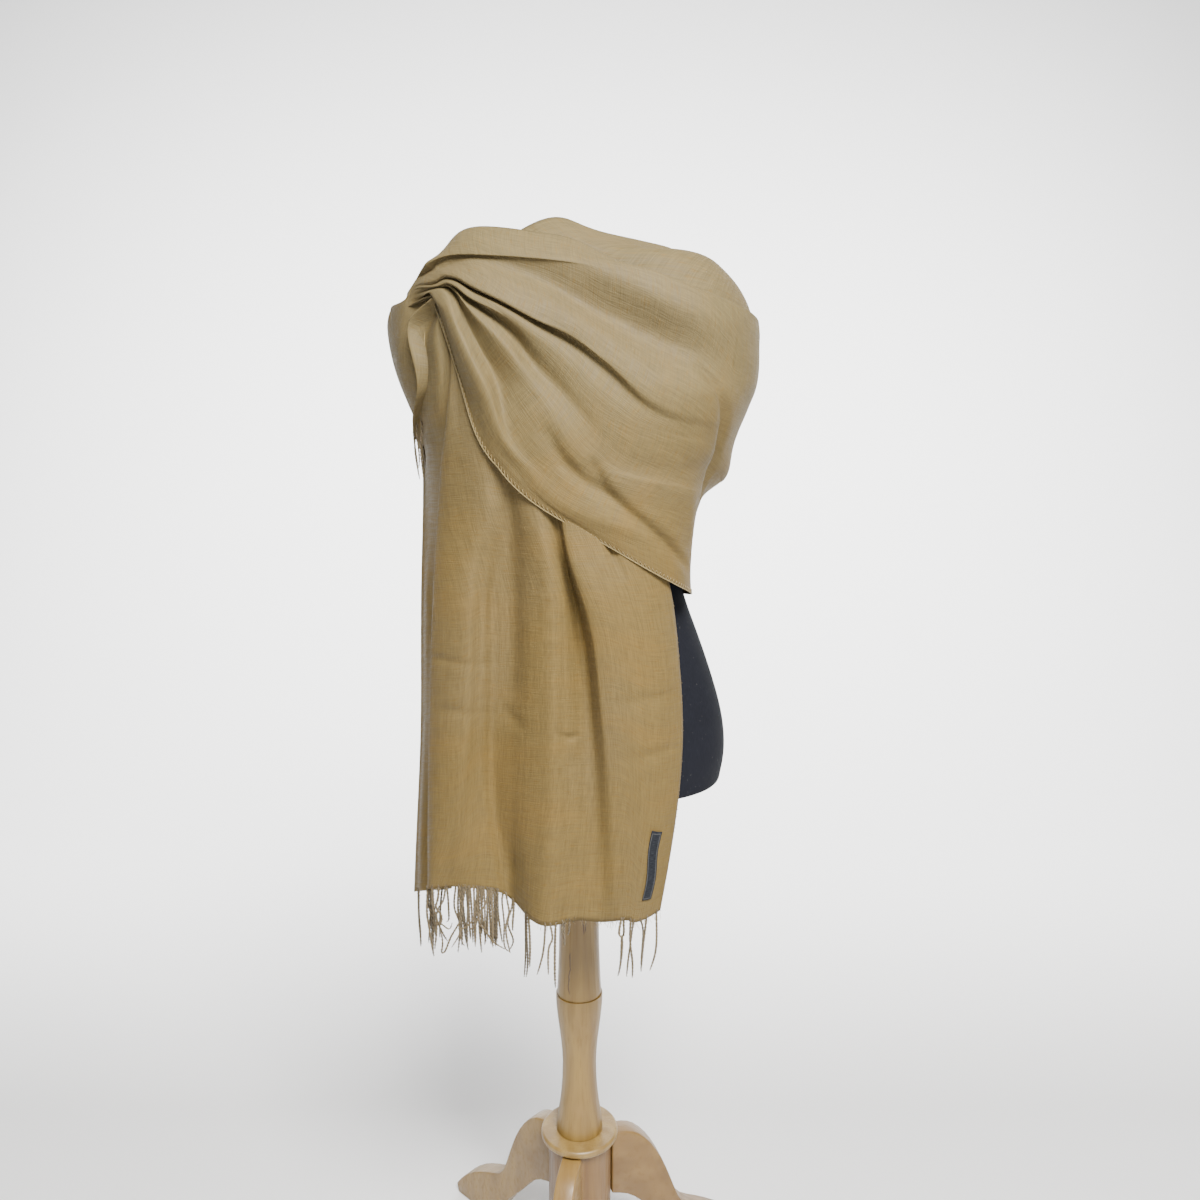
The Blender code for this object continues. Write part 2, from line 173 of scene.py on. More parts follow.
def wood_grain():
    """Long grain, growth rings, pores and knots, along the piece's own Z or its board."""
    tree, inputs, outputs = effect_group(
        "wood grain",
        [("Along", "NodeSocketVector", (1.0, 1.0, 0.06)),
         ("Light", "NodeSocketColor", (0.7, 0.55, 0.36, 1)),
         ("Dark", "NodeSocketColor", (0.42, 0.27, 0.14, 1))])
    place = add(tree, "ShaderNodeTexCoord").outputs["Object"]
    light, dark = inputs.outputs["Light"], inputs.outputs["Dark"]
    squeezed = stretched(tree, place, inputs.outputs["Along"])
    broad = add(tree, "ShaderNodeTexNoise", Vector=squeezed, Scale=38.0, Detail=3.0,
                Distortion=0.6).outputs[0]
    rings = add(tree, "ShaderNodeTexWave", {"wave_type": "RINGS", "rings_direction": "SPHERICAL"},
                Vector=squeezed, Scale=26.0, Distortion=5.0, Detail=2.0,
                Detail_Scale=1.6).outputs[1]
    fine = noise(tree, squeezed, 420.0, 2.0)
    spots = noise(tree, place, 14.0, 1.0)
    tone = mixed(tree, ramp(tree, broad, 0.35, 0.68), light, dark)
    tone = mixed(tree, ramp(tree, rings, 0.2, 0.9, 0.0, 0.35), tone, dark)
    tone = mixed(tree, ramp(tree, fine, 0.52, 0.75, 0.0, 0.45), tone, dark)
    tone = mixed(tree, ramp(tree, spots, 0.62, 0.8, 0.0, 0.3), tone, (0.36, 0.20, 0.10, 1))
    tree.links.new(tone, outputs.inputs["Color"])
    tree.links.new(ramp(tree, fine, 0.3, 0.8, 0.36, 0.56), outputs.inputs["Roughness"])
    tree.links.new(plus(tree, fine, times(tree, rings, 0.6)), outputs.inputs["Height"])
    return tree


WOOD_GRAIN = wood_grain()
UP_THE_POST = (1.0, 1.0, 0.06)
CRACK_HALF_WIDTH = 0.0009
CRACK_WANDER = 0.006


def wood(name, light, dark, along=UP_THE_POST, cracks=()):
    """Varnished wood; each crack is its place across, its two heights and its lean."""
    material, tree, shader = new_material(name)
    grain = add(tree, "ShaderNodeGroup", {"node_tree": WOOD_GRAIN}, Along=along,
                Light=(*light, 1), Dark=(*dark, 1))
    colour = grain.outputs["Color"]
    height = grain.outputs["Height"]
    if cracks:
        place = add(tree, "ShaderNodeTexCoord").outputs["Object"]
        across, deep, high = add(tree, "ShaderNodeSeparateXYZ", Vector=place).outputs
        front = ramp(tree, deep, AXIS.y - 0.004, AXIS.y, 1.0, 0.0)
        wander = times(tree, plus(tree, noise(tree, place, 70.0, 2.0), -0.5), CRACK_WANDER)
        for x, low, top, lean in cracks:
            middle = (low + top) / 2
            line = sum_of(tree, "MULTIPLY_ADD", high, -lean)
            line.node.inputs[2].default_value = lean * middle - x
            offset = sum_of(tree, "ABSOLUTE", plus(tree, across, line, wander))
            near = ramp(tree, offset, 0.0002, CRACK_HALF_WIDTH, 1.0, 0.0)
            inside = ramp(tree, sum_of(tree, "ABSOLUTE", sum_of(tree, "SUBTRACT", high, middle)),
                          (top - low) * 0.4, (top - low) / 2, 1.0, 0.0)
            mask = times(tree, near, inside, front)
            colour = mixed(tree, mask, colour, (0.06, 0.03, 0.015, 1))
            height = sum_of(tree, "SUBTRACT", height, times(tree, mask, 4.0))
    tree.links.new(colour, shader.inputs["Base Color"])
    tree.links.new(grain.outputs["Roughness"], shader.inputs["Roughness"])
    raised(tree, shader, height, 0.25, 0.0008)
    finish(shader, Coat_Weight=0.12, Coat_Roughness=0.35)
    return material


TURNED_SIDES = 96


def turned(name, profile, nodes, material, soften=0.0012):
    """A piece turned on the lathe from heights and radii, bottom first, its edges eased."""
    def build(bm):
        line = [bm.verts.new((0, 0, profile[0][0]))]
        line += [bm.verts.new((radius, 0, height)) for height, radius in profile]
        line += [bm.verts.new((0, 0, profile[-1][0]))]
        edges = [bm.edges.new(pair) for pair in zip(line, line[1:])]
        bmesh.ops.spin(bm, geom=line + edges, axis=(0, 0, 1), cent=(0, 0, 0), angle=2 * math.pi,
                       steps=TURNED_SIDES, use_merge=True)
        bmesh.ops.remove_doubles(bm, verts=bm.verts, dist=1e-5)
        bmesh.ops.recalc_face_normals(bm, faces=bm.faces)

    ease = new_mesh(name, build, material, nodes).modifiers.new("Eased edges", "BEVEL")
    ease.width = soften
    ease.segments = 2
    ease.limit_method = "ANGLE"
    ease.angle_limit = math.radians(38)
    ease.harden_normals = True


POST_WOOD = wood(
    "post pine", (0.25, 0.156, 0.038), (0.158, 0.09, 0.02),
    cracks=[(AXIS.x + 0.0035, 0.475, 0.56, -0.06), (AXIS.x + 0.0105, 0.478, 0.535, 0.12),
            (AXIS.x - 0.011, 0.40, 0.455, 0.03)])
DISC_WOOD = wood("disc pine", (0.265, 0.172, 0.05), (0.185, 0.11, 0.029))
HUB_WOOD = wood("hub pine", (0.195, 0.106, 0.028), (0.12, 0.058, 0.015))

turned("stand_upper_post", [
    (0.3920, 0.0272), (0.3960, 0.0271), (0.410, 0.0263), (0.430, 0.0255), (0.455, 0.0247),
    (0.484, 0.0242), (0.560, 0.0242), (0.6567, 0.0242)], ["upper_post"], POST_WOOD, 0.0008)
turned("stand_lower_post", [
    (0.2118, 0.0287), (0.220, 0.0282), (0.232, 0.0268), (0.246, 0.0245), (0.262, 0.0226),
    (0.280, 0.0213), (0.300, 0.0208), (0.315, 0.0214), (0.330, 0.0228), (0.346, 0.0248),
    (0.362, 0.0268), (0.374, 0.0281), (0.382, 0.0286), (0.3917, 0.0287)],
    ["lower_post"], POST_WOOD, 0.0006)
turned("stand_form_plate", [(0.6570, 0.042), (0.6600, 0.045), (0.6667, 0.045)],
       ["form_plate"], POST_WOOD)
turned("stand_collar_disc", [
    (0.2025, 0.046), (0.2045, 0.048), (0.2095, 0.048), (0.2115, 0.046)], ["collar_disc"], DISC_WOOD)
turned("stand_hub", [(0.088, 0.0365), (0.090, 0.039), (0.2022, 0.039)], ["hub"], HUB_WOOD)

LEG_THICKNESS = 0.024
LEG_EDGE_ROUNDING = 0.0022
LEG_TOP_EDGE = [
    # distance from the post's axis, height
    (0.0394, 0.200), (0.060, 0.199), (0.075, 0.193), (0.092, 0.176), (0.107, 0.152), (0.120, 0.120),
    (0.130, 0.092), (0.140, 0.076), (0.165, 0.066), (0.195, 0.051), (0.220, 0.030), (0.234, 0.012)]
LEG_BOTTOM_EDGE = [
    (0.230, 0.0), (0.160, 0.0), (0.144, 0.018), (0.128, 0.042), (0.114, 0.058), (0.098, 0.074),
    (0.080, 0.098), (0.060, 0.113), (0.0394, 0.118)]


def leg(node, angle, material):
    """A sawn leg: its side outline, rounded through its points, given the board's thickness."""
    def smoothed(points):
        points = np.array(points)
        middle = (points[1:] + points[:-1]) / 2
        lifted = np.empty((2 * len(points) - 1, 2))
        lifted[::2] = points
        lifted[1::2] = middle
        lifted[2:-1:2] = (lifted[1:-2:2] + 2 * points[1:-1] + lifted[3::2]) / 4
        return [tuple(point) for point in lifted]

    def build(bm):
        outline = smoothed(LEG_TOP_EDGE) + smoothed(LEG_BOTTOM_EDGE)
        side = [bm.verts.new((reach, -LEG_THICKNESS / 2, height)) for reach, height in outline]
        face = bm.faces.new(side)
        swept = bmesh.ops.extrude_face_region(bm, geom=[face])["geom"]
        moved = [item for item in swept if isinstance(item, bmesh.types.BMVert)]
        bmesh.ops.translate(bm, verts=moved, vec=(0, LEG_THICKNESS, 0))
        bmesh.ops.recalc_face_normals(bm, faces=bm.faces)
        long_edges = [edge for edge in bm.edges if len(edge.link_faces) == 2
                      and edge.calc_face_angle(0) > math.radians(60)]
        bmesh.ops.bevel(bm, geom=long_edges, offset=LEG_EDGE_ROUNDING, offset_type="OFFSET",
                        affect="EDGES", segments=3, profile=0.5, material=-1)
        # An angle of 0 points at the front, so the outline's +X is turned there first.
        bmesh.ops.rotate(bm, verts=bm.verts, cent=(0, 0, 0),
                         matrix=Matrix.Rotation(math.radians(angle - 90), 3, "Z"))

    new_mesh("stand_" + node, build, material, [node], sharp=35)


LEG_WOODS = {
    # leg: angle round the post, light colour, dark colour, grain direction
    "leg_front": (-12.0, (0.27, 0.166, 0.047), (0.193, 0.108, 0.029), (1.0, 0.12, 0.35)),
    "leg_left": (-132.0, (0.24, 0.149, 0.04), (0.163, 0.092, 0.022), (0.2, 0.8, 0.3)),
    "leg_right": (108.0, (0.212, 0.123, 0.034), (0.134, 0.071, 0.018), (0.15, 0.9, 0.3)),
}
for leg_node, (leg_angle, light, dark, along) in LEG_WOODS.items():
    leg(leg_node, leg_angle, wood(leg_node + " pine", light, dark, along))


# ---- The dress form ------------------------------------------------------------------
# A headless, limbless woman's form, padded and covered in one stretched near-black jersey.
# It is turned a little on its post towards the viewer's right.

FORM_TURN = -15.0
FORM_SIDES = 96
FORM_LEVELS = np.concatenate([np.linspace(0.667, 0.695, 12), np.linspace(0.695, 1.284, 115)])
FORM_SECTIONS = [
    # height, half width, half depth, forward
    (0.667, 0.154, 0.104, 0.000), (0.671, 0.163, 0.112, 0.000), (0.679, 0.1685, 0.117, 0.000),
    (0.695, 0.1715, 0.1195, 0.000), (0.735, 0.172, 0.120, 0.000), (0.790, 0.159, 0.112, 0.000),
    (0.850, 0.138, 0.098, 0.000), (0.915, 0.119, 0.087, 0.002), (0.965, 0.123, 0.092, 0.006),
    (1.010, 0.134, 0.103, 0.010), (1.060, 0.146, 0.113, 0.012), (1.105, 0.155, 0.107, 0.009),
    (1.150, 0.168, 0.090, 0.003), (1.185, 0.176, 0.074, -0.002), (1.210, 0.166, 0.064, -0.005),
    (1.228, 0.132, 0.058, -0.006), (1.242, 0.092, 0.054, -0.006), (1.256, 0.062, 0.050, -0.005),
    (1.272, 0.051, 0.048, -0.004), (1.284, 0.049, 0.046, -0.004)]


def spline(knots, rows):
    """A natural cubic spline through rows of values, to be read at any places."""
    knots = np.asarray(knots, float)
    rows = np.asarray(rows, float)
    last = len(knots) - 1
    gaps = np.diff(knots)
    slopes = np.diff(rows, axis=0) / gaps[:, None]
    system = np.eye(last + 1)
    pull = np.zeros_like(rows)
    for i in range(1, last):
        system[i, i - 1:i + 2] = gaps[i - 1], 2 * (gaps[i - 1] + gaps[i]), gaps[i]
        pull[i] = 6 * (slopes[i] - slopes[i - 1])
    bend = np.linalg.solve(system, pull)

    def read(places):
        i = np.clip(np.searchsorted(knots, places) - 1, 0, last - 1)
        step = (places - knots[i])[..., None]
        gap = gaps[i][..., None]
        slope = slopes[i] - gap * (2 * bend[i] + bend[i + 1]) / 6
        curve = bend[i] / 2 + step * (bend[i + 1] - bend[i]) / (6 * gap)
        return rows[i] + step * (slope + step * curve)

    return read


def build_form(bm):
    """Oval rings from the hips to the neck, closed at both ends."""
    table = np.array(FORM_SECTIONS)
    read = spline(table[:, 0], table[:, 1:])
    levels = np.unique(np.concatenate([table[:, 0], FORM_LEVELS]))
    turns = np.arange(FORM_SIDES) * 2 * math.pi / FORM_SIDES
    rings = []
    for level, (wide, deep, forward) in zip(levels, read(levels)):
        rings.append([bm.verts.new((wide * math.sin(turn), -deep * math.cos(turn) - forward, level))
                      for turn in turns])
    for lower, upper in zip(rings, rings[1:]):
        for k in range(FORM_SIDES):
            after = (k + 1) % FORM_SIDES
            bm.faces.new((lower[k], lower[after], upper[after], upper[k]))
    bm.faces.new(list(reversed(rings[0])))
    bm.faces.new(rings[-1])
    bmesh.ops.recalc_face_normals(bm, faces=bm.faces)
    bmesh.ops.rotate(bm, verts=bm.verts, cent=(0, 0, 0),
                     matrix=Matrix.Rotation(math.radians(FORM_TURN), 3, "Z"))


def jersey():
    """Near-black stretched jersey: fine knit ribs, a little lint and a soft sheen."""
    material, tree, shader = new_material("black jersey")
    place = add(tree, "ShaderNodeTexCoord").outputs["Object"]
    knit = noise(tree, stretched(tree, place, (1.0, 1.0, 0.15)), 900.0, 1.0)
    cloudy = noise(tree, place, 9.0, 2.0)
    lint = noise(tree, place, 260.0, 1.0)
    tone = mixed(tree, knit, (0.006, 0.0065, 0.009, 1), (0.012, 0.013, 0.018, 1))
    tone = mixed(tree, ramp(tree, cloudy, 0.35, 0.7, 0.0, 0.5), tone, (0.014, 0.015, 0.021, 1))
    tone = mixed(tree, ramp(tree, lint, 0.72, 0.80, 0.0, 0.35), tone, (0.08, 0.075, 0.07, 1))
    tree.links.new(tone, shader.inputs["Base Color"])
    finish(shader, Roughness=0.9, Specular_IOR_Level=0.08, Sheen_Weight=0.01, Sheen_Roughness=0.5)
    raised(tree, shader, knit, 0.35, 0.0004)
    return material


new_mesh("form_jersey_cover", build_form, jersey(), ["dress_form"], sharp=50)


# ---- The front panel of the shawl -----------------------------------------------------
# The first end of one long cloth of fine golden-camel alpaca, plain woven, hanging from
# the shoulder on the viewer's left. Its left edge is turned back under itself, one soft
# pleat starts under the crossing layer, and the hem steps where a deep trough runs down.

CHEST = 1.03
TILT_ARC = 0.25
MM = 0.001
CLOTH_THICKNESS = 0.0009

# The cloth's hull: its reach from the axis in eight directions, row by row
HULL = [
    # rise, front, front_right, right, back_right, back, back_left, left, front_left
    (0.45, 0.138, 0.158, 0.140, 0.150, 0.145, 0.150, 0.182, 0.176),
    (0.60, 0.138, 0.158, 0.140, 0.150, 0.145, 0.150, 0.182, 0.176),
    (0.75, 0.138, 0.158, 0.140, 0.150, 0.145, 0.150, 0.178, 0.172),
    (0.90, 0.138, 0.148, 0.117, 0.138, 0.125, 0.145, 0.168, 0.166),
    (1.03, 0.143, 0.158, 0.146, 0.144, 0.118, 0.142, 0.163, 0.166),
    (1.10, 0.150, 0.178, 0.190, 0.168, 0.125, 0.155, 0.178, 0.176),
    (1.16, 0.160, 0.200, 0.230, 0.195, 0.142, 0.192, 0.232, 0.196),
    (1.22, 0.182, 0.222, 0.264, 0.230, 0.175, 0.232, 0.268, 0.224),
    (1.28, 0.214, 0.249, 0.285, 0.262, 0.215, 0.258, 0.282, 0.254),
    (1.35, 0.250, 0.259, 0.272, 0.265, 0.252, 0.270, 0.282, 0.270),
    (1.4227, 0.272, 0.272, 0.272, 0.272, 0.272, 0.272, 0.272, 0.272)]
HULL_ROWS = np.array(HULL)
DIRECTIONS = HULL_ROWS.shape[1] - 1
HULL_WAVES = np.fft.rfft(HULL_ROWS[:, 1:], axis=1) / DIRECTIONS
WAVES_AT = spline(HULL_ROWS[:, 0], np.hstack([HULL_WAVES.real, HULL_WAVES.imag]))


def hull(angle, rise):
    """Points on the hull, from angles in degrees (0 in front) and rises in metres."""
    turn = np.radians(angle)
    waves = WAVES_AT(rise)
    half = DIRECTIONS // 2
    reach = waves[..., 0] + waves[..., half] * np.cos(half * turn)
    for k in range(1, half):
        sine = waves[..., half + 1 + k] * np.sin(k * turn)
        reach = reach + 2 * (waves[..., k] * np.cos(k * turn) - sine)
    tilt = np.maximum(rise - CHEST, 0) / TILT_ARC
    level = reach * np.cos(tilt)
    height = np.minimum(rise, CHEST) + reach * np.sin(tilt)
    return np.stack([level * np.sin(turn), -level * np.cos(turn), height], axis=-1)


def stand_off(angle, rise, out):
    """Points that stand off the hull by out millimetres."""
    aside = 0.2
    above = 0.0005
    across = hull(angle + aside, rise) - hull(angle - aside, rise)
    up = hull(angle, rise + above) - hull(angle, rise - above)
    normal = np.cross(across, up)
    normal /= np.linalg.norm(normal, axis=-1, keepdims=True)
    return hull(angle, rise) + normal * out[..., None] * MM


def between(knots, rows, places):
    """Rows of values eased from each knot to the next, without swinging past them."""
    knots = np.asarray(knots, float)
    gaps = np.diff(knots)
    slopes = np.diff(rows, axis=0) / gaps[:, None, None]
    before = np.concatenate([slopes[:1], slopes])
    after = np.concatenate([slopes, slopes[-1:]])
    gap_before = np.concatenate([gaps[:1], gaps])[:, None, None]
    gap_after = np.concatenate([gaps, gaps[-1:]])[:, None, None]
    tangents = (before * gap_after + after * gap_before) / (gap_before + gap_after)
    limit = 3 * np.minimum(np.abs(before), np.abs(after))
    tangents = np.clip(tangents, -limit, limit)
    i = np.clip(np.searchsorted(knots, places, side="right") - 1, 0, len(gaps) - 1)
    t = ((places - knots[i]) / gaps[i])[:, None, None]
    gap = gaps[i][:, None, None]
    return ((1 + 2 * t) * (1 - t) ** 2 * rows[i] + t * (1 - t) ** 2 * gap * tangents[i]
            + t ** 2 * (3 - 2 * t) * rows[i + 1] + t ** 2 * (t - 1) * gap * tangents[i + 1])


def crease_depth(creases, angle, rise):
    """Millimetres pressed in by listed creases: stations of angle, rise, depth and
    width in mm. A sharp above 0 makes the side above the crease steeper."""
    flat = hull(angle, rise).reshape(-1, 3)
    pressed = np.zeros(len(flat))
    for _, sharp, stations in creases:
        table = np.array(stations, float)
        steps = np.linspace(0, len(table) - 1, 30 * len(table))
        along = spline(np.arange(len(table)), table)(steps)
        line = hull(along[:, 0], along[:, 1])
        near = np.full(len(flat), 0)
        best = np.full(len(flat), np.inf)
        for k, point in enumerate(line):
            distance = ((flat - point) ** 2).sum(axis=1)
            closer = distance < best
            near[closer] = k
            best[closer] = distance[closer]
        ahead = np.gradient(line, axis=0)
        ahead /= np.linalg.norm(ahead, axis=1, keepdims=True)
        aside = np.cross(line - [0, 0, CHEST], ahead)
        aside /= np.linalg.norm(aside, axis=1, keepdims=True)
        offset = ((flat - line[near]) * aside[near]).sum(axis=1)
        width = along[near, 3] * MM * np.where(offset * sharp > 0, 1 - abs(sharp), 1.0)
        beyond = best - offset ** 2
        fading = (offset / width) ** 2 + np.maximum(beyond, 0) / width ** 2
        pressed += along[near, 2] * np.exp(-fading)
    return pressed.reshape(angle.shape)


def charted(guides, creases, along, across):
    """A grid of angle, rise and out on a stretch: rows along it, columns across it."""
    table = np.array([stations for _, _, stations in guides], float)
    shares = [share for _, share, _ in guides]
    count = table.shape[1]
    read = spline(np.arange(count), table.transpose(1, 0, 2).reshape(count, -1))
    lines = read(along * (count - 1)).reshape(len(along), len(shares), 3).transpose(1, 0, 2)
    grid = between(shares, lines, across).transpose(1, 0, 2)
    angle, rise, out = np.moveaxis(grid, -1, 0)
    return angle, rise, out - crease_depth(creases, angle, rise)


def cloth_sheet(name, points, nodes, material, thickness=CLOTH_THICKNESS):
    """A thin shell on a grid of points, with its weave laid out in metres of cloth."""
    rows, columns = points.shape[:2]

    def build(bm):
        bmesh.ops.create_grid(bm, x_segments=rows - 1, y_segments=columns - 1, size=0.5)
        for vert in bm.verts:
            i = round((vert.co.x + 0.5) * (rows - 1))
            j = round((vert.co.y + 0.5) * (columns - 1))
            vert.co = points[i, j]
            places.append((i, j))

    places = []
    piece = new_mesh(name, build, material, nodes)
    steps = np.linalg.norm(np.diff(points, axis=0), axis=2)
    sides = np.linalg.norm(np.diff(points, axis=1), axis=2)
    length = np.vstack([np.zeros(columns), np.cumsum(steps, axis=0)])
    width = np.hstack([np.zeros((rows, 1)), np.cumsum(sides, axis=1)])
    # Mostly the mean run of the rows and columns, so that the threads stay nearly straight
    length = length * 0.3 + length.mean(axis=1, keepdims=True) * 0.7
    width = width * 0.3 + width.mean(axis=0, keepdims=True) * 0.7
    layer = piece.data.uv_layers.new(name="weave")
    corners = np.empty(len(piece.data.loops), dtype=np.int32)
    piece.data.loops.foreach_get("vertex_index", corners)
    i, j = np.array(places)[corners].T
    flat = np.stack([length[i, j], width[i, j]], axis=1)
    layer.data.foreach_set("uv", flat.astype(np.float32).ravel())
    wall = piece.modifiers.new("Cloth", "SOLIDIFY")
    wall.thickness = thickness
    wall.offset = 0
    return piece


def spaced(knots, counts):
    """Places from the first knot to the last, with a count of steps from each to the next."""
    runs = [np.linspace(a, b, n, endpoint=False) for a, b, n in zip(knots, knots[1:], counts)]
    return np.concatenate(runs + [knots[-1:]])


def weave_pattern():
    """Fine heathered plain weave: uneven threads both ways, ochre flecks, soft patches, and painted
    light: golden lower down, turning to a cooler grey towards the top for cool light from above and
    warm bounce light below.
    """
    tree, inputs, outputs = effect_group(
        "alpaca weave",
        [("Golden", "NodeSocketColor", (0.134, 0.090, 0.0275, 1)),
         ("Painted Top Grey", "NodeSocketColor", (0.124, 0.094, 0.040, 1)),
         ("Fleck", "NodeSocketColor", (0.135, 0.074, 0.013, 1)),
         ("Painted Cool Light From", "NodeSocketFloat", 0.90),
         ("Painted Cool Light To", "NodeSocketFloat", 1.20)])
    flat = add(tree, "ShaderNodeUVMap", {"uv_map": "weave"}).outputs[0]

    def threads(along, across, scale, detail=1.0):
        return noise(tree, stretched(tree, flat, (along, across, 1.0)), scale, detail,
                     noise_dimensions="2D")

    warp = threads(0.05, 1.0, 1100.0)
    weft = threads(1.0, 0.05, 1000.0)
    ribs = threads(0.02, 1.0, 330.0)
    slubs = threads(1.0, 0.08, 420.0, 2.0)
    flecks = threads(1.0, 0.22, 520.0)
    patches = threads(1.0, 0.35, 26.0, 2.0)
    clouds = threads(0.6, 1.0, 9.0)

    place = add(tree, "ShaderNodeTexCoord").outputs["Object"]
    high = add(tree, "ShaderNodeSeparateXYZ", Vector=place).outputs[2]
    # Painted light: between these heights the colour turns from golden to a cooler grey, standing
    # for cool light from above and warm bounce light below.
    painted_cool_light = ramp(tree, high, inputs.outputs["Painted Cool Light From"], inputs.outputs["Painted Cool Light To"])
    tone = mixed(tree, painted_cool_light, inputs.outputs["Golden"], inputs.outputs["Painted Top Grey"])
    # The warm patches are the cloth's own uneven tone, but they fade towards the top along with the
    # painted cool light.
    warmth = times(tree, ramp(tree, patches, 0.45, 0.75, 0.0, 0.40),
                   sum_of(tree, "SUBTRACT", 1.0, times(tree, painted_cool_light, 0.8)))
    tone = mixed(tree, warmth, tone, (0.158, 0.096, 0.024, 1))
    tone = mixed(tree, ramp(tree, clouds, 0.4, 0.75, 0.0, 0.35), tone, (0.130, 0.096, 0.045, 1))
    tone = mixed(tree, ramp(tree, flecks, 0.58, 0.78, 0.0, 0.35), tone, inputs.outputs["Fleck"])
    light = plus(tree, ramp(tree, warp, 0.25, 0.75, -0.09, 0.09),
                 ramp(tree, weft, 0.25, 0.75, -0.05, 0.05), ramp(tree, ribs, 0.3, 0.7, -0.04, 0.04),
                 ramp(tree, slubs, 0.3, 0.7, -0.05, 0.05), 1.0)
    lit = add(tree, "ShaderNodeVectorMath", {"operation": "SCALE"}, i0=tone, Scale=light)
    tree.links.new(lit.outputs[0], outputs.inputs["Color"])
    tree.links.new(ramp(tree, slubs, 0.3, 0.7, 0.62, 0.78), outputs.inputs["Roughness"])
    tree.links.new(plus(tree, warp, weft, times(tree, ribs, 0.8)), outputs.inputs["Height"])
    return tree


def alpaca():
    """Woven alpaca: its weave, and a nap that catches light at the edges of folds."""
    material, tree, shader = new_material("alpaca weave")
    weave = add(tree, "ShaderNodeGroup", {"node_tree": weave_pattern()})
    tree.links.new(weave.outputs["Color"], shader.inputs["Base Color"])
    tree.links.new(weave.outputs["Roughness"], shader.inputs["Roughness"])
    raised(tree, shader, weave.outputs["Height"], 0.45, 0.0006)
    finish(shader, Specular_IOR_Level=0.25, Sheen_Weight=0.03, Sheen_Roughness=0.45,
           Sheen_Tint=(0.95, 0.88, 0.76, 1))
    return material


CLOTH = alpaca()

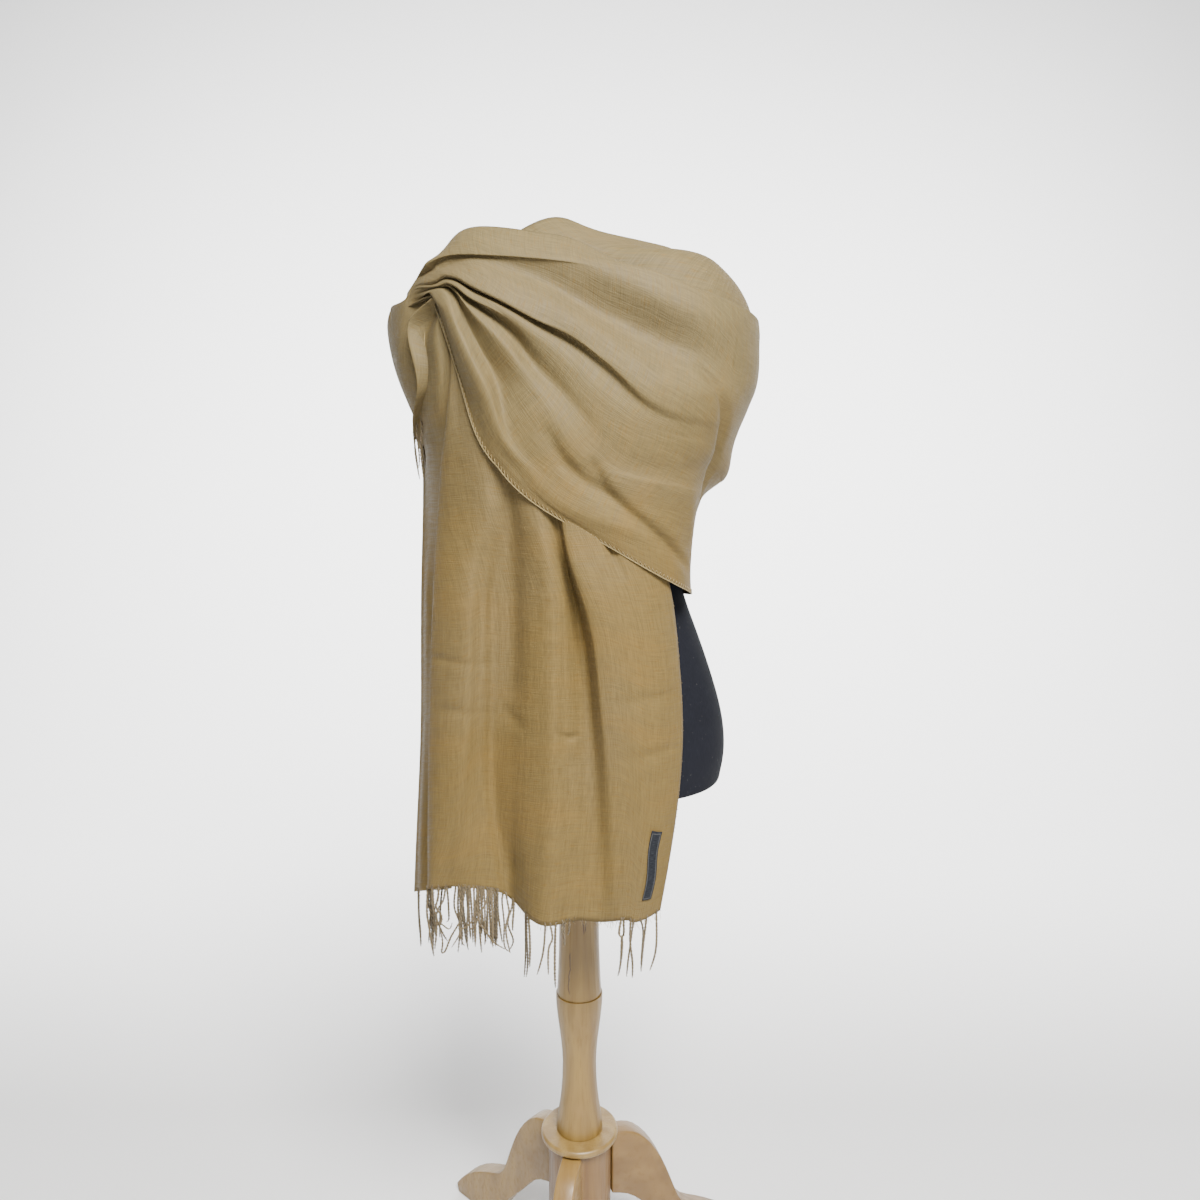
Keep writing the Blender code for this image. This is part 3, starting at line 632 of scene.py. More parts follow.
# Guide lines of the panel, from its right selvedge round to the edge turned back inside
PANEL = [
    # fold, share of the width, then angle, rise and out at the stations from the hem up
    ("right_selvedge", 0, [
        (35.7, 0.557, 0), (41.8, 0.643, 0), (46, 0.74, 0), (46.1, 0.827, 0), (42.1, 0.902, 0),
        (30.9, 0.976, 0), (21.6, 1.056, 0), (6.4, 1.143, 0), (-6, 1.206, 0), (-22.8, 1.232, 0),
        (-31.4, 1.247, 0), (-64, 1.27, 0)]),
    ("right_fall", 0.12, [
        (25, 0.55, 4.8), (29.5, 0.65, 4.8), (30.8, 0.747, 4.8), (29.3, 0.832, 6.4),
        (22.9, 0.905, 6.4), (14, 0.976, 3.2), (6.2, 1.056, 1.6), (-5.6, 1.144, 1.6),
        (-18, 1.199, 1), (-30.1, 1.225, 1), (-37.2, 1.241, 1), (-67.8, 1.269, 0)]),
    ("dart_edge", 0.215, [
        (17.7, 0.552, 3), (15.3, 0.69, 5), (11.9, 0.776, 8), (8.2, 0.855, 11.5),
        (1.4, 0.914, 12.5), (-4.3, 0.97, 6), (-7, 1.056, 1.8), (-15.1, 1.141, 1.8),
        (-24.1, 1.195, 1), (-33.7, 1.222, 1), (-40.1, 1.239, 1), (-70.8, 1.268, 0)]),
    ("dart_valley", 0.235, [
        (12.3, 0.549, -1), (9.3, 0.686, -7), (7.2, 0.771, -10), (4.1, 0.851, -13),
        (-1.5, 0.912, -13), (-6, 0.97, -4), (-9.5, 1.056, -1.7), (-17.5, 1.141, 0),
        (-25.7, 1.195, 0), (-34.6, 1.222, 0), (-41.2, 1.239, 0), (-71.5, 1.268, 0)]),
    ("dart_left", 0.275, [
        (1.8, 0.552, 1), (-1, 0.688, 1), (-2.6, 0.774, 1), (-3.8, 0.853, 1), (-6.1, 0.913, 2),
        (-11.1, 0.976, 1), (-13.9, 1.055, 1), (-21, 1.139, 1), (-28.1, 1.192, 1),
        (-36.2, 1.22, 1), (-42.4, 1.237, 1), (-72.9, 1.266, 0)]),
    ("middle_ridge", 0.34, [
        (-12.2, 0.551, 11.4), (-10.8, 0.691, 9), (-10.8, 0.775, 8), (-11.1, 0.854, 7),
        (-11.8, 0.913, 6), (-15.8, 0.976, 3.8), (-19.8, 1.055, 1.9), (-25.8, 1.136, 1.9),
        (-32, 1.189, 1), (-38.8, 1.218, 1), (-44.3, 1.236, 1), (-75.2, 1.265, 0)]),
    ("step_edge", 0.385, [
        (-18.3, 0.552, 1), (-19, 0.687, -3), (-18.9, 0.773, -3), (-18.5, 0.853, -2),
        (-18.7, 0.913, -2), (-21.3, 0.976, -1), (-24.6, 1.055, 1), (-29.7, 1.135, 1),
        (-34.9, 1.187, 1), (-40.9, 1.216, 1), (-45.9, 1.234, 1), (-76.8, 1.263, 0)]),
    ("deep_trough", 0.43, [
        (-26.6, 0.558, -30), (-32.9, 0.679, -28), (-32.8, 0.768, -24), (-32.3, 0.85, -20),
        (-31.5, 0.911, -17), (-27.1, 0.976, -10), (-28.9, 1.055, -3), (-33.1, 1.133, 0),
        (-37.5, 1.186, 0), (-43, 1.215, 0), (-47.7, 1.234, 0), (-78.5, 1.262, 0)]),
    ("recessed_front", 0.5, [
        (-34.5, 0.572, -24), (-39.9, 0.68, -20), (-39, 0.769, -13), (-38.1, 0.85, -9),
        (-37.2, 0.911, -7), (-35.2, 0.976, 1), (-35.5, 1.054, 1.5), (-38.1, 1.13, 2),
        (-41, 1.182, 2), (-45.5, 1.212, 2), (-49.5, 1.231, 2), (-82, 1.249, 0)]),
    ("left_front", 0.62, [
        (-51.3, 0.575, -9), (-48.5, 0.644, -2), (-45.9, 0.744, 3), (-44.2, 0.83, 6),
        (-43.8, 0.903, 7), (-45.1, 0.975, 2), (-43.4, 1.054, 2), (-43.5, 1.129, 2),
        (-44.5, 1.179, 2), (-48.5, 1.21, 2), (-52.4, 1.229, 2), (-85, 1.238, 0)]),
    ("lit_edge", 0.7, [
        (-61.4, 0.565, 1), (-59.6, 0.635, 3), (-58.5, 0.737, 5), (-57.8, 0.825, 7),
        (-56.9, 0.901, 8), (-58.6, 0.975, 3), (-52.3, 1.055, 3.5), (-46.9, 1.127, 4),
        (-46.3, 1.177, 4), (-49.9, 1.207, 4), (-54.3, 1.227, 4), (-87.7, 1.228, 0)]),
    ("under_edge", 0.712, [
        (-63.4, 0.561, -5), (-62.2, 0.631, -3), (-60.8, 0.734, -1), (-60.3, 0.823, 1),
        (-60.3, 0.899, 2), (-60.4, 0.974, -1), (-53.6, 1.056, -0.5), (-47.5, 1.129, 0),
        (-47, 1.179, 0), (-50.8, 1.21, 0), (-55.6, 1.229, 0), (-88.2, 1.226, 0)]),
    ("tuck", 0.735, [
        (-64.3, 0.558, -14), (-62, 0.63, -12), (-60.7, 0.733, -10), (-60.3, 0.823, -7),
        (-59.6, 0.899, -5), (-57.5, 0.975, -4), (-52.3, 1.056, -3.5), (-47.6, 1.131, -3),
        (-47.6, 1.181, -2), (-51.3, 1.21, -1), (-56.5, 1.23, -1), (-89.1, 1.222, 0)]),
    ("strip_start", 0.765, [
        (-75.1, 0.544, -17), (-75, 0.616, -15), (-71.6, 0.725, -12), (-71.9, 0.817, -9),
        (-72.7, 0.895, -7), (-65.9, 0.974, -6), (-57.1, 1.057, -4), (-49.6, 1.129, -1),
        (-48.9, 1.178, 1), (-51.7, 1.208, 2), (-56.2, 1.228, 1), (-90.4, 1.217, 0)]),
    ("strip_middle", 0.8, [
        (-80, 0.536, 0.5), (-80, 0.611, -1), (-80, 0.719, -4), (-80, 0.813, -1),
        (-80, 0.893, 2.5), (-80, 0.973, 2.5), (-70, 1.062, 0), (-53.5, 1.127, 3),
        (-51.8, 1.174, 4.5), (-52.5, 1.206, 4), (-55.8, 1.227, 3), (-93.5, 1.2, 0)]),
    ("pit", 0.825, [
        (-85, 0.528, 8.5), (-85, 0.604, 5.5), (-85, 0.714, 1), (-85, 0.81, 4), (-85, 0.891, 7.5),
        (-85, 0.972, 8.5), (-85, 1.064, 9), (-63.7, 1.13, -4), (-58.8, 1.177, -5),
        (-55.6, 1.212, -3), (-54.9, 1.227, 2), (-96.4, 1.182, 0)]),
    ("outer_bulge", 0.86, [
        (-89, 0.521, 17), (-89, 0.599, 12), (-89, 0.71, 7), (-89, 0.807, 9.5), (-89, 0.89, 13.5),
        (-89, 0.972, 14), (-89, 1.067, 17), (-63.3, 1.125, 7), (-61.9, 1.179, 9),
        (-60, 1.206, 11), (-57, 1.224, 9), (-99, 1.165, 0)]),
    ("turned_back", 0.885, [
        (-94, 0.52, 9), (-94, 0.6, 4), (-94, 0.71, -1), (-94, 0.807, 1), (-94, 0.89, 5),
        (-94, 0.972, 5), (-92, 1.067, 7), (-60, 1.13, -12), (-57, 1.172, -12), (-57, 1.202, -12),
        (-58.5, 1.228, -8), (-100, 1.159, -1)]),
    ("inner_edge", 1, [
        (-60, 0.56, -26), (-58, 0.64, -24), (-57, 0.74, -20), (-57, 0.83, -16), (-58, 0.9, -13),
        (-62, 0.965, -11), (-78, 1.04, -10), (-90, 1.08, -9), (-92, 1.1, -8), (-94, 1.12, -6),
        (-96, 1.13, -4), (-104, 1.134, 0)]),
]

PANEL_CREASES = [
    # crease, sharp side, then angle, rise, depth and width in mm
    ("notch under the crossing selvedge", 0.4, [
        (13.5, 0.962, 5, 5), (15, 0.948, 7, 5), (17, 0.932, 4, 5), (20, 0.912, 0, 6)]),
    ("trough below the crossing layer", 0.0, [
        (-24, 1.02, 0, 14), (-26, 0.93, 6, 14), (-26.5, 0.84, 8, 14), (-27, 0.755, 3, 14),
        (-27, 0.66, 2, 12), (-27, 0.60, 5, 12)]),
    ("packing crease, upper left", 0.5, [
        (-62, 0.826, 0, 5.8), (-52, 0.829, 1.7, 5.8), (-38, 0.826, 1.3, 7.2), (-30, 0.83, 0, 7.2)]),
    ("packing crease, lower left", 0.5, [
        (-57, 0.772, 0, 5.8), (-50, 0.775, 1.8, 5.8), (-42, 0.774, 1.6, 7.2), (-34, 0.77, 0, 7.2)]),
    ("slanting crease", 0.3, [
        (-33, 0.777, 0, 5.8), (-27, 0.768, 2, 7.2), (-22, 0.758, 1.4, 7.2), (-19, 0.756, 0, 7.2)]),
    ("short crisp crease", 0.6, [
        (-8, 0.757, 0, 3), (-4, 0.753, 4, 4), (-1, 0.752, 4, 4), (3, 0.753, 0, 3)]),
    ("packing crease, upper right", 0.5, [
        (14, 0.790, 0, 5.8), (24, 0.791, 2, 6.5), (34, 0.793, 1.7, 6.5), (44, 0.792, 0, 7.2)]),
    ("packing crease, lower right", 0.5, [
        (16, 0.732, 0, 5.8), (26, 0.731, 2, 6.5), (36, 0.735, 1.7, 6.5), (45, 0.736, 0, 7.2)]),
]

# The grid's columns lie closer together at the crisp folds.
PANEL_ROWS = np.linspace(0, 1, 266)
PANEL_COLUMNS = spaced(np.array([share for _, share, _ in PANEL]),
                       [12, 12, 8, 8, 10, 8, 8, 10, 14, 12, 5, 6, 8, 8, 6, 8, 6, 10])

panel_points = stand_off(*charted(PANEL, PANEL_CREASES, PANEL_ROWS, PANEL_COLUMNS))
front_panel = cloth_sheet("shawl_front_panel_cloth", panel_points,
                          ["shawl_front_panel"], CLOTH)


# ---- The crossing stretch and the thrown end -------------------------------------------
# The same cloth comes round the right side, crosses the chest with its overlocked selvedge
# below, is gathered into three stacked pleats on the left shoulder's crest, and its end
# falls over the shoulder at the outer side.

# Guide lines from the right side to the crest: ridges, lips and valleys as they show
CROSS = [
    # fold, share of the width, then angle, rise and out from the right side to the crest
    ("top_edge", 0, [
        (99, 1.2, 6), (72.1, 1.208, 9), (45, 1.245, 11), (25, 1.285, 12), (0.8, 1.324, 12),
        (-24.6, 1.319, 13), (-42, 1.305, 15), (-55.1, 1.291, 15), (-58.3, 1.272, 12),
        (-60.7, 1.259, 12), (-61.9, 1.253, 12)]),
    ("top_ridge", 0.1, [
        (99, 1.192, 6), (70.3, 1.198, 9), (45.5, 1.236, 15.5), (26.3, 1.273, 18.5),
        (2.7, 1.292, 19.5), (-17.6, 1.286, 20.5), (-32.5, 1.275, 20.5), (-44.3, 1.266, 20.5),
        (-53.1, 1.259, 19), (-58.3, 1.25, 19.5), (-60.1, 1.246, 18)]),
    ("under_ridge", 0.15, [
        (99, 1.178, 5), (69.3, 1.182, 7), (44.4, 1.219, 15), (25.8, 1.259, 17), (3.8, 1.287, 17),
        (-17, 1.286, 18), (-32.4, 1.276, 18), (-44.4, 1.268, 18), (-53.2, 1.26, 16.5),
        (-58.2, 1.25, 12), (-60.2, 1.246, 11.5)]),
    ("broad_valley", 0.22, [
        (99, 1.15, 4), (67.4, 1.146, 5), (41.8, 1.185, -5), (23.6, 1.228, -4), (3.5, 1.262, 0),
        (-15.2, 1.274, 6.5), (-30.3, 1.269, 13), (-42.2, 1.264, 16), (-50.7, 1.256, 13),
        (-55.8, 1.247, 13), (-57.9, 1.242, 13)]),
    ("belly", 0.33, [
        (99, 1.115, 4), (65.2, 1.117, 5), (35.4, 1.136, 13), (19.5, 1.186, 17),
        (2.9, 1.226, 23.5), (-12.9, 1.242, 25), (-26.3, 1.249, 23.5), (-37.5, 1.25, 23),
        (-46.4, 1.25, 20), (-52.9, 1.246, 17.5), (-55.9, 1.244, 15.5)]),
    ("belly_lip", 0.39, [
        (99, 1.095, 4), (65.2, 1.094, 5), (33.1, 1.113, 14), (17, 1.165, 18.5),
        (1.3, 1.21, 22.5), (-14.6, 1.225, 25.5), (-27.2, 1.233, 27), (-37.5, 1.238, 26),
        (-43.6, 1.242, 23.5), (-49.9, 1.242, 19.5), (-54.8, 1.236, 16.5)]),
    ("crisp_valley", 0.415, [
        (99, 1.09, 4), (66.2, 1.085, 5), (33.3, 1.1, 10), (17.1, 1.159, 11.5), (1.1, 1.211, 14),
        (-15, 1.229, 17), (-28.2, 1.236, 19.5), (-40.2, 1.24, 17), (-45.5, 1.243, 17.5),
        (-50.8, 1.241, 15.5), (-55.6, 1.234, 13.5)]),
    ("second_roll", 0.46, [
        (99, 1.07, 4), (69.3, 1.066, 5), (31.3, 1.086, 10), (13.5, 1.132, 14),
        (-0.7, 1.186, 17.5), (-14.4, 1.214, 21.5), (-26, 1.227, 24.5), (-37.2, 1.233, 23.5),
        (-43.1, 1.238, 22), (-49.7, 1.239, 17.5), (-55, 1.233, 14)]),
    ("second_lip", 0.51, [
        (99, 1.055, 4), (78.3, 1.044, 5), (30.8, 1.07, 10), (10.1, 1.105, 12), (-3.9, 1.165, 14),
        (-15.8, 1.201, 17.5), (-25.4, 1.221, 23.5), (-37, 1.228, 24.5), (-42.7, 1.234, 23.5),
        (-48.4, 1.237, 19), (-53.6, 1.232, 15.5)]),
    ("third_valley", 0.54, [
        (99, 1.04, 4), (73.7, 1.022, 5), (28, 1.032, 8), (10.1, 1.08, 10), (-4.4, 1.149, 9.5),
        (-17.3, 1.191, 9.5), (-26.4, 1.218, 13), (-39.5, 1.231, 16), (-44.7, 1.236, 17),
        (-49.1, 1.238, 15), (-53.9, 1.233, 13)]),
    ("third_roll", 0.62, [
        (99, 1.01, 4), (70.2, 0.999, 5), (24.2, 1.015, 10.5), (2.8, 1.041, 11.5),
        (-8.8, 1.113, 14), (-18.8, 1.164, 18), (-27.2, 1.196, 23), (-38.6, 1.22, 22),
        (-43.1, 1.23, 20), (-48.1, 1.236, 15), (-52.9, 1.233, 13)]),
    ("fourth_valley", 0.71, [
        (99, 0.975, 4), (58.8, 0.981, 5), (18.4, 0.993, 10), (-5.6, 1.016, 9), (-21.1, 1.072, 8),
        (-27.5, 1.138, 8), (-34.1, 1.181, 10.5), (-42.1, 1.218, 12), (-45.8, 1.232, 10.5),
        (-49.5, 1.237, 10), (-53.9, 1.234, 9)]),
    ("front_roll", 0.79, [
        (99, 0.945, 4), (52.6, 0.953, 5), (14, 0.973, 11.5), (-10.4, 1.004, 10),
        (-24.1, 1.061, 12), (-29.1, 1.119, 20), (-34.2, 1.162, 27), (-41.8, 1.203, 25.5),
        (-46.2, 1.221, 21), (-50.8, 1.23, 16), (-55.1, 1.229, 13)]),
    ("front_lip", 0.85, [
        (99, 0.925, 4.5), (50.1, 0.937, 5), (13, 0.963, 9), (-11.6, 0.997, 8.5),
        (-26.5, 1.051, 9), (-31.8, 1.108, 16), (-36.1, 1.15, 23), (-44.8, 1.201, 21),
        (-48.8, 1.216, 18.5), (-54.5, 1.226, 13.5), (-57.5, 1.225, 11.5)]),
    ("tucked_strip", 0.91, [
        (99, 0.907, 4.5), (50.8, 0.921, 5), (13.8, 0.956, 7.5), (-11.1, 0.993, 7),
        (-27.5, 1.042, 7.5), (-36.6, 1.108, 7.5), (-42.5, 1.159, 7.5), (-47.2, 1.194, 7.5),
        (-51.9, 1.216, 7.5), (-58, 1.23, 5.5), (-61, 1.226, 5)]),
    ("selvedge", 1, [
        (99, 0.885, 4.5), (50.8, 0.9, 5), (15.3, 0.947, 5), (-10.8, 0.984, 5), (-28.7, 1.029, 5),
        (-37.8, 1.096, 5), (-42.7, 1.151, 5), (-47.7, 1.188, 4.5), (-52.4, 1.211, 4.5),
        (-57.7, 1.226, 4), (-61, 1.224, 4)]),
]

# The thrown end beyond the crest: share of the width, then angle, rise and out
THROW = [
    (0, [
        (-65.5, 1.237, 10), (-68.5, 1.217, 10), (-78.6, 1.211, 11), (-80.7, 1.2085, 11),
        (-82.2, 1.2, 11), (-95, 1.17, 9), (-101, 1.125, 10)]),
    (0.2, [
        (-65.7, 1.233, 11), (-68.5, 1.213, 9.5), (-76.5, 1.199, 8.5), (-79, 1.196, 8),
        (-80.5, 1.188, 7.5), (-87, 1.162, 5.5), (-94, 1.118, 8)]),
    (0.45, [
        (-65.3, 1.228, 10), (-68, 1.209, 8), (-72.5, 1.19, 6.5), (-74, 1.186, 6),
        (-75.2, 1.178, 5.6), (-80, 1.152, 4), (-86, 1.112, 7)]),
    (0.7, [
        (-64.5, 1.222, 8), (-66.5, 1.205, 6), (-69, 1.183, 5.2), (-70, 1.178, 5),
        (-70.8, 1.17, 5), (-74, 1.145, 4.5), (-79, 1.108, 6)]),
    (1, [
        (-60, 1.22, 0), (-59.5, 1.205, -3), (-59.5, 1.18, -5), (-59.5, 1.172, -5),
        (-59.5, 1.165, -5), (-60.5, 1.14, -5), (-64.5, 1.108, -3)])]

CROSS_CREASES = [
    # crease or swell, sharp side, then angle, rise, depth and width in mm
    ("valley before the bulge at the side", 0.5, [
        (45, 1.168, 0, 7), (51, 1.142, 5, 8), (56, 1.117, 7, 9), (60, 1.090, 8, 10),
        (63, 1.060, 8, 10), (64.5, 1.030, 6.5, 10), (66, 1.000, 4, 9), (68, 0.970, 0, 9)]),
    ("bulge at the side", 0.0, [
        (66, 1.035, 0, 22), (76, 1.038, -12, 26), (86, 1.035, -19, 28), (99, 1.035, -16, 28),
        (112, 1.04, -10, 28), (125, 1.04, 0, 28)]),
    ("undercut below the bulge", 0.5, [
        (68, 0.972, 0, 6), (78, 0.974, 6, 7), (90, 0.976, 8, 8), (99, 0.978, 7, 8),
        (115, 0.98, 4, 9), (128, 0.98, 0, 9)]),
    ("crease to the hip", 0.4, [
        (6, 1.045, 0, 9), (9, 1.022, 4, 10), (15, 0.999, 6, 10), (25.5, 0.976, 6.5, 9),
        (38, 0.952, 6, 8), (48, 0.933, 4, 7), (57, 0.918, 0, 7)]),
    ("soft fold below the chest", 0.3, [
        (-14, 1.105, 0, 8), (-7.7, 1.065, 4, 9), (-1.5, 1.029, 5, 9), (9.4, 1.007, 3.5, 9),
        (18, 0.993, 0, 9)]),
    ("swell under the arm", 0.0, [
        (40, 1.02, 0, 14), (50, 0.99, -3, 14), (56, 0.95, -2, 10), (60, 0.92, 0, 10)]),
]


def cross_and_throw():
    """The guides from the right side over the crest to the thrown end."""
    shares = np.array([share for share, _ in THROW])
    ends = np.array([stations for _, stations in THROW], float)
    joined = []
    for fold, share, stations in CROSS:
        beyond = between(shares, ends, np.array([share]))[0]
        joined.append((fold, share, list(stations) + [tuple(row) for row in beyond]))
    return joined


WRAP = cross_and_throw()
WRAP_SPANS = len(WRAP[0][2]) - 1

# The rows lie closer together at the gathered crest, and the columns at the crisp lips.
WRAP_ROWS = spaced(np.arange(WRAP_SPANS + 1.0),
                   [14, 20, 20, 20, 20, 18, 16, 12, 8, 4, 6, 10, 4, 4, 12, 12, 12]) / WRAP_SPANS
WRAP_COLUMNS = spaced(np.array([share for _, share, _ in WRAP]),
                      [14, 9, 12, 16, 12, 9, 9, 9, 8, 14, 14, 14, 12, 12, 14])

wrap_points = stand_off(*charted(WRAP, CROSS_CREASES, WRAP_ROWS, WRAP_COLUMNS))
cross = cloth_sheet("shawl_cross_and_throw_cloth", wrap_points[:, ::-1],
                    ["shawl_cross_stretch", "shawl_throw"], CLOTH)


# ---- The back stretch -------------------------------------------------------------------
# The middle of the cloth, from the left shoulder's crest behind the neck and back, its
# upper part over the right shoulder and its lower part on into the crossing stretch.

BACK = [
    # guide, share of the width, then angle, rise and out from the left crest round the back
    ("collar", 0, [
        (-64.7, 1.27, -2), (-100, 1.32, 0), (-150, 1.355, 2), (-205, 1.355, 0),
        (-262, 1.34, -9), (-305, 1.352, -7), (-372, 1.372, 8), (-400, 1.335, -3)]),
    ("nape", 0.12, [
        (-71, 1.268, -1), (-103, 1.31, 1), (-150, 1.335, 2), (-200, 1.335, 1),
        (-248, 1.32, -7), (-285, 1.305, -14), (-325, 1.325, -6), (-352, 1.27, -4)]),
    ("shoulders", 0.25, [
        (-78.6, 1.262, 0), (-106, 1.29, 0), (-148, 1.305, 0), (-190, 1.305, 0),
        (-228, 1.295, -3), (-258, 1.28, -9), (-283, 1.26, -6), (-308, 1.195, -2)]),
    ("under the crossing edge", 0.34, [
        (-82.5, 1.249, 0), (-108, 1.265, 0), (-145, 1.26, 0), (-187, 1.25, 0),
        (-223, 1.245, 0), (-248, 1.243, -1), (-266, 1.222, 2.5), (-279, 1.168, 1)]),
    ("upper back", 0.4, [
        (-84.5, 1.24, 0), (-109, 1.25, 0), (-144, 1.235, 0), (-184, 1.22, 0),
        (-219, 1.22, 0), (-240, 1.222, 0), (-254, 1.212, 3), (-261, 1.2, 6)]),
    ("middle", 0.6, [
        (-91, 1.215, 0), (-112, 1.19, 0), (-144, 1.135, 0), (-181, 1.105, 0),
        (-214, 1.1, 4), (-238, 1.1, 5), (-252, 1.1, 5), (-261, 1.09, 4)]),
    ("waist", 0.78, [
        (-97.5, 1.175, 0), (-116, 1.1, 0), (-143, 1.03, 0), (-178, 0.99, 0),
        (-211, 0.98, 6), (-236, 0.99, 6), (-252, 0.99, 5), (-261, 0.99, 4)]),
    ("lower selvedge", 1, [
        (-104.6, 1.13, 0), (-121, 1.02, 0), (-146, 0.93, 0), (-177, 0.875, 0),
        (-207, 0.86, 2), (-231, 0.865, 5), (-249, 0.875, 6), (-261, 0.885, 4.5)])]

BACK_CREASES = [
    # crease or swell, sharp side, then angle, rise, depth and width in mm
    ("bulge at the side", 0, [
        (-261, 1.035, -16, 28), (-248, 1.04, -10, 28), (-235, 1.04, 0, 28)]),
    ("undercut below the bulge", 0.5, [
        (-261, 0.978, 7, 8), (-245, 0.98, 4, 9), (-232, 0.98, 0, 9)]),
    ("first swag", 0.4, [
        (-96, 1.255, 0, 9), (-120, 1.215, 5, 12), (-155, 1.175, 8, 15), (-200, 1.165, 7, 15),
        (-240, 1.19, 0, 12)]),
    ("second swag", 0.4, [
        (-100, 1.2, 0, 9), (-124, 1.13, 6, 12), (-158, 1.075, 9, 14), (-205, 1.06, 7, 14),
        (-244, 1.09, 0, 12)]),
    ("third swag", 0.3, [
        (-104, 1.15, 0, 8), (-128, 1.05, 5, 11), (-160, 0.985, 8, 13), (-205, 0.965, 5, 13),
        (-238, 0.98, 0, 12)]),
    ("hollow behind the crossing edge", 0.2, [
        (-296, 1.245, 0, 14), (-312, 1.262, 6, 15), (-330, 1.298, 10, 17), (-346, 1.318, 10, 16),
        (-360, 1.332, 6, 13), (-376, 1.336, 0, 11)]),
    ("nape fold", 0.3, [
        (-110, 1.335, 0, 8), (-150, 1.325, 4, 10), (-210, 1.32, 5, 11), (-260, 1.315, 3, 10),
        (-300, 1.31, 0, 9)]),
    ("shoulder fold", 0.3, [
        (-225, 1.25, 0, 9), (-250, 1.262, 4, 11), (-280, 1.3, 4, 10), (-320, 1.345, 0, 9)]),
]

# Below this share of the width, the cloth passes under the crossing stretch's upper edge.
BACK_JOIN = 0.4


def back_points():
    """The back's grid, eased at its end onto the start of the crossing stretch."""
    along = np.linspace(0, 1, 232)
    across = np.linspace(0, 1, 150)
    angle, rise, out = charted(BACK, BACK_CREASES, along, across)
    joins = across >= BACK_JOIN
    shares = np.clip((across - BACK_JOIN) / (1 - BACK_JOIN), 0, 1)
    first = charted(WRAP, CROSS_CREASES, np.array([0.0, 0.01]), shares)
    ease = np.clip((along - 0.8) / 0.2, 0, 1)[:, None] ** 2
    for grid, target in zip((angle, rise, out), (first[0] - 360, first[1], first[2])):
        grid += np.where(joins, target[0] - grid[-1], 0) * ease
    return stand_off(angle, rise, out)


back = cloth_sheet("shawl_back_cloth", back_points(), ["shawl_back_stretch"], CLOTH)


# ---- Overlock stitching -----------------------------------------------------------------
# Both long edges of the cloth are overlocked with a cream thread, which shows as a small
# zigzag along the lower edge of the crossing stretch and up the front panel's right edge.

def runs_along(path):
    """The length of a path up to each of its points."""
    return np.concatenate([[0], np.cumsum(np.linalg.norm(np.diff(path, axis=0), axis=1))])


def points_at(places, knots, path):
    """Points of a path at some places among the knots that its own points have."""
    return np.array([np.interp(places, knots, path[:, k]) for k in range(3)]).T


def evenly(path, step):
    """The points of a path a fixed step apart."""
    path = np.asarray(path, float)
    run = runs_along(path)
    return points_at(np.linspace(0, run[-1], max(int(run[-1] / step) + 1, 2)), run, path)


def tube(bm, path, radius, sides, strand):
    """A thin tube along a path; its UV map holds the run along it and its strand's number."""
    path = np.asarray(path)
    count = len(path)
    tangent = np.gradient(path, axis=0)
    tangent /= np.linalg.norm(tangent, axis=1, keepdims=True) + 1e-12
    side = np.cross(tangent, (0.0, 1.0, 0.02))
    side /= np.linalg.norm(side, axis=1, keepdims=True) + 1e-12
    front = np.cross(side, tangent)
    run = runs_along(path)
    radius = np.broadcast_to(radius, count)
    layer = bm.loops.layers.uv.get("strand") or bm.loops.layers.uv.new("strand")
    made = bmesh.ops.create_grid(bm, x_segments=count - 1, y_segments=sides, size=0.5)["verts"]
    runs = {}
    for vert in made:
        i = round((vert.co.x + 0.5) * (count - 1))
        turn = math.tau * round((vert.co.y + 0.5) * sides) / sides
        vert.co = path[i] + (side[i] * math.cos(turn) + front[i] * math.sin(turn)) * radius[i]
        runs[vert] = run[i]
    for face in {face for vert in made for face in vert.link_faces}:
        face.smooth = True
        for loop in face.loops:
            loop[layer].uv = (runs[loop.vert], strand)
    bmesh.ops.remove_doubles(bm, verts=made, dist=1e-7)


def yarn(name, light, dark):
    """Spun thread, lighter and darker from strand to strand and along its twist."""
    material, tree, shader = new_material(name)
    place = add(tree, "ShaderNodeUVMap", {"uv_map": "strand"}).outputs[0]
    number = add(tree, "ShaderNodeSeparateXYZ", Vector=place).outputs[1]
    own = add(tree, "ShaderNodeTexWhiteNoise", {"noise_dimensions": "1D"}, W=number)
    fibre = noise(tree, add(tree, "ShaderNodeTexCoord").outputs["Object"], 900.0, 1.0)
    blend = plus(tree, times(tree, own.outputs["Value"], 0.7),
                 ramp(tree, fibre, 0.3, 0.7, -0.15, 0.45))
    tree.links.new(mixed(tree, blend, (*dark, 1), (*light, 1)), shader.inputs["Base Color"])
    raised(tree, shader, fibre, 0.5, 0.0002)
    finish(shader, Roughness=0.8, Specular_IOR_Level=0.2, Sheen_Weight=0.15)
    return material


# Share of the width, and metres; the lift off the cloth is in mm, as every out is
STITCH_REACH = 0.985
STITCH_STEP = 0.0026
STITCH_DEPTH = 0.0044
STITCH_RADIUS = 0.00045
STITCH_LIFT = 0.95
EDGE_CORD_STEP = 0.004
SIDE_STITCH = 0.0016
SIDE_STITCH_LIFT = 0.0006


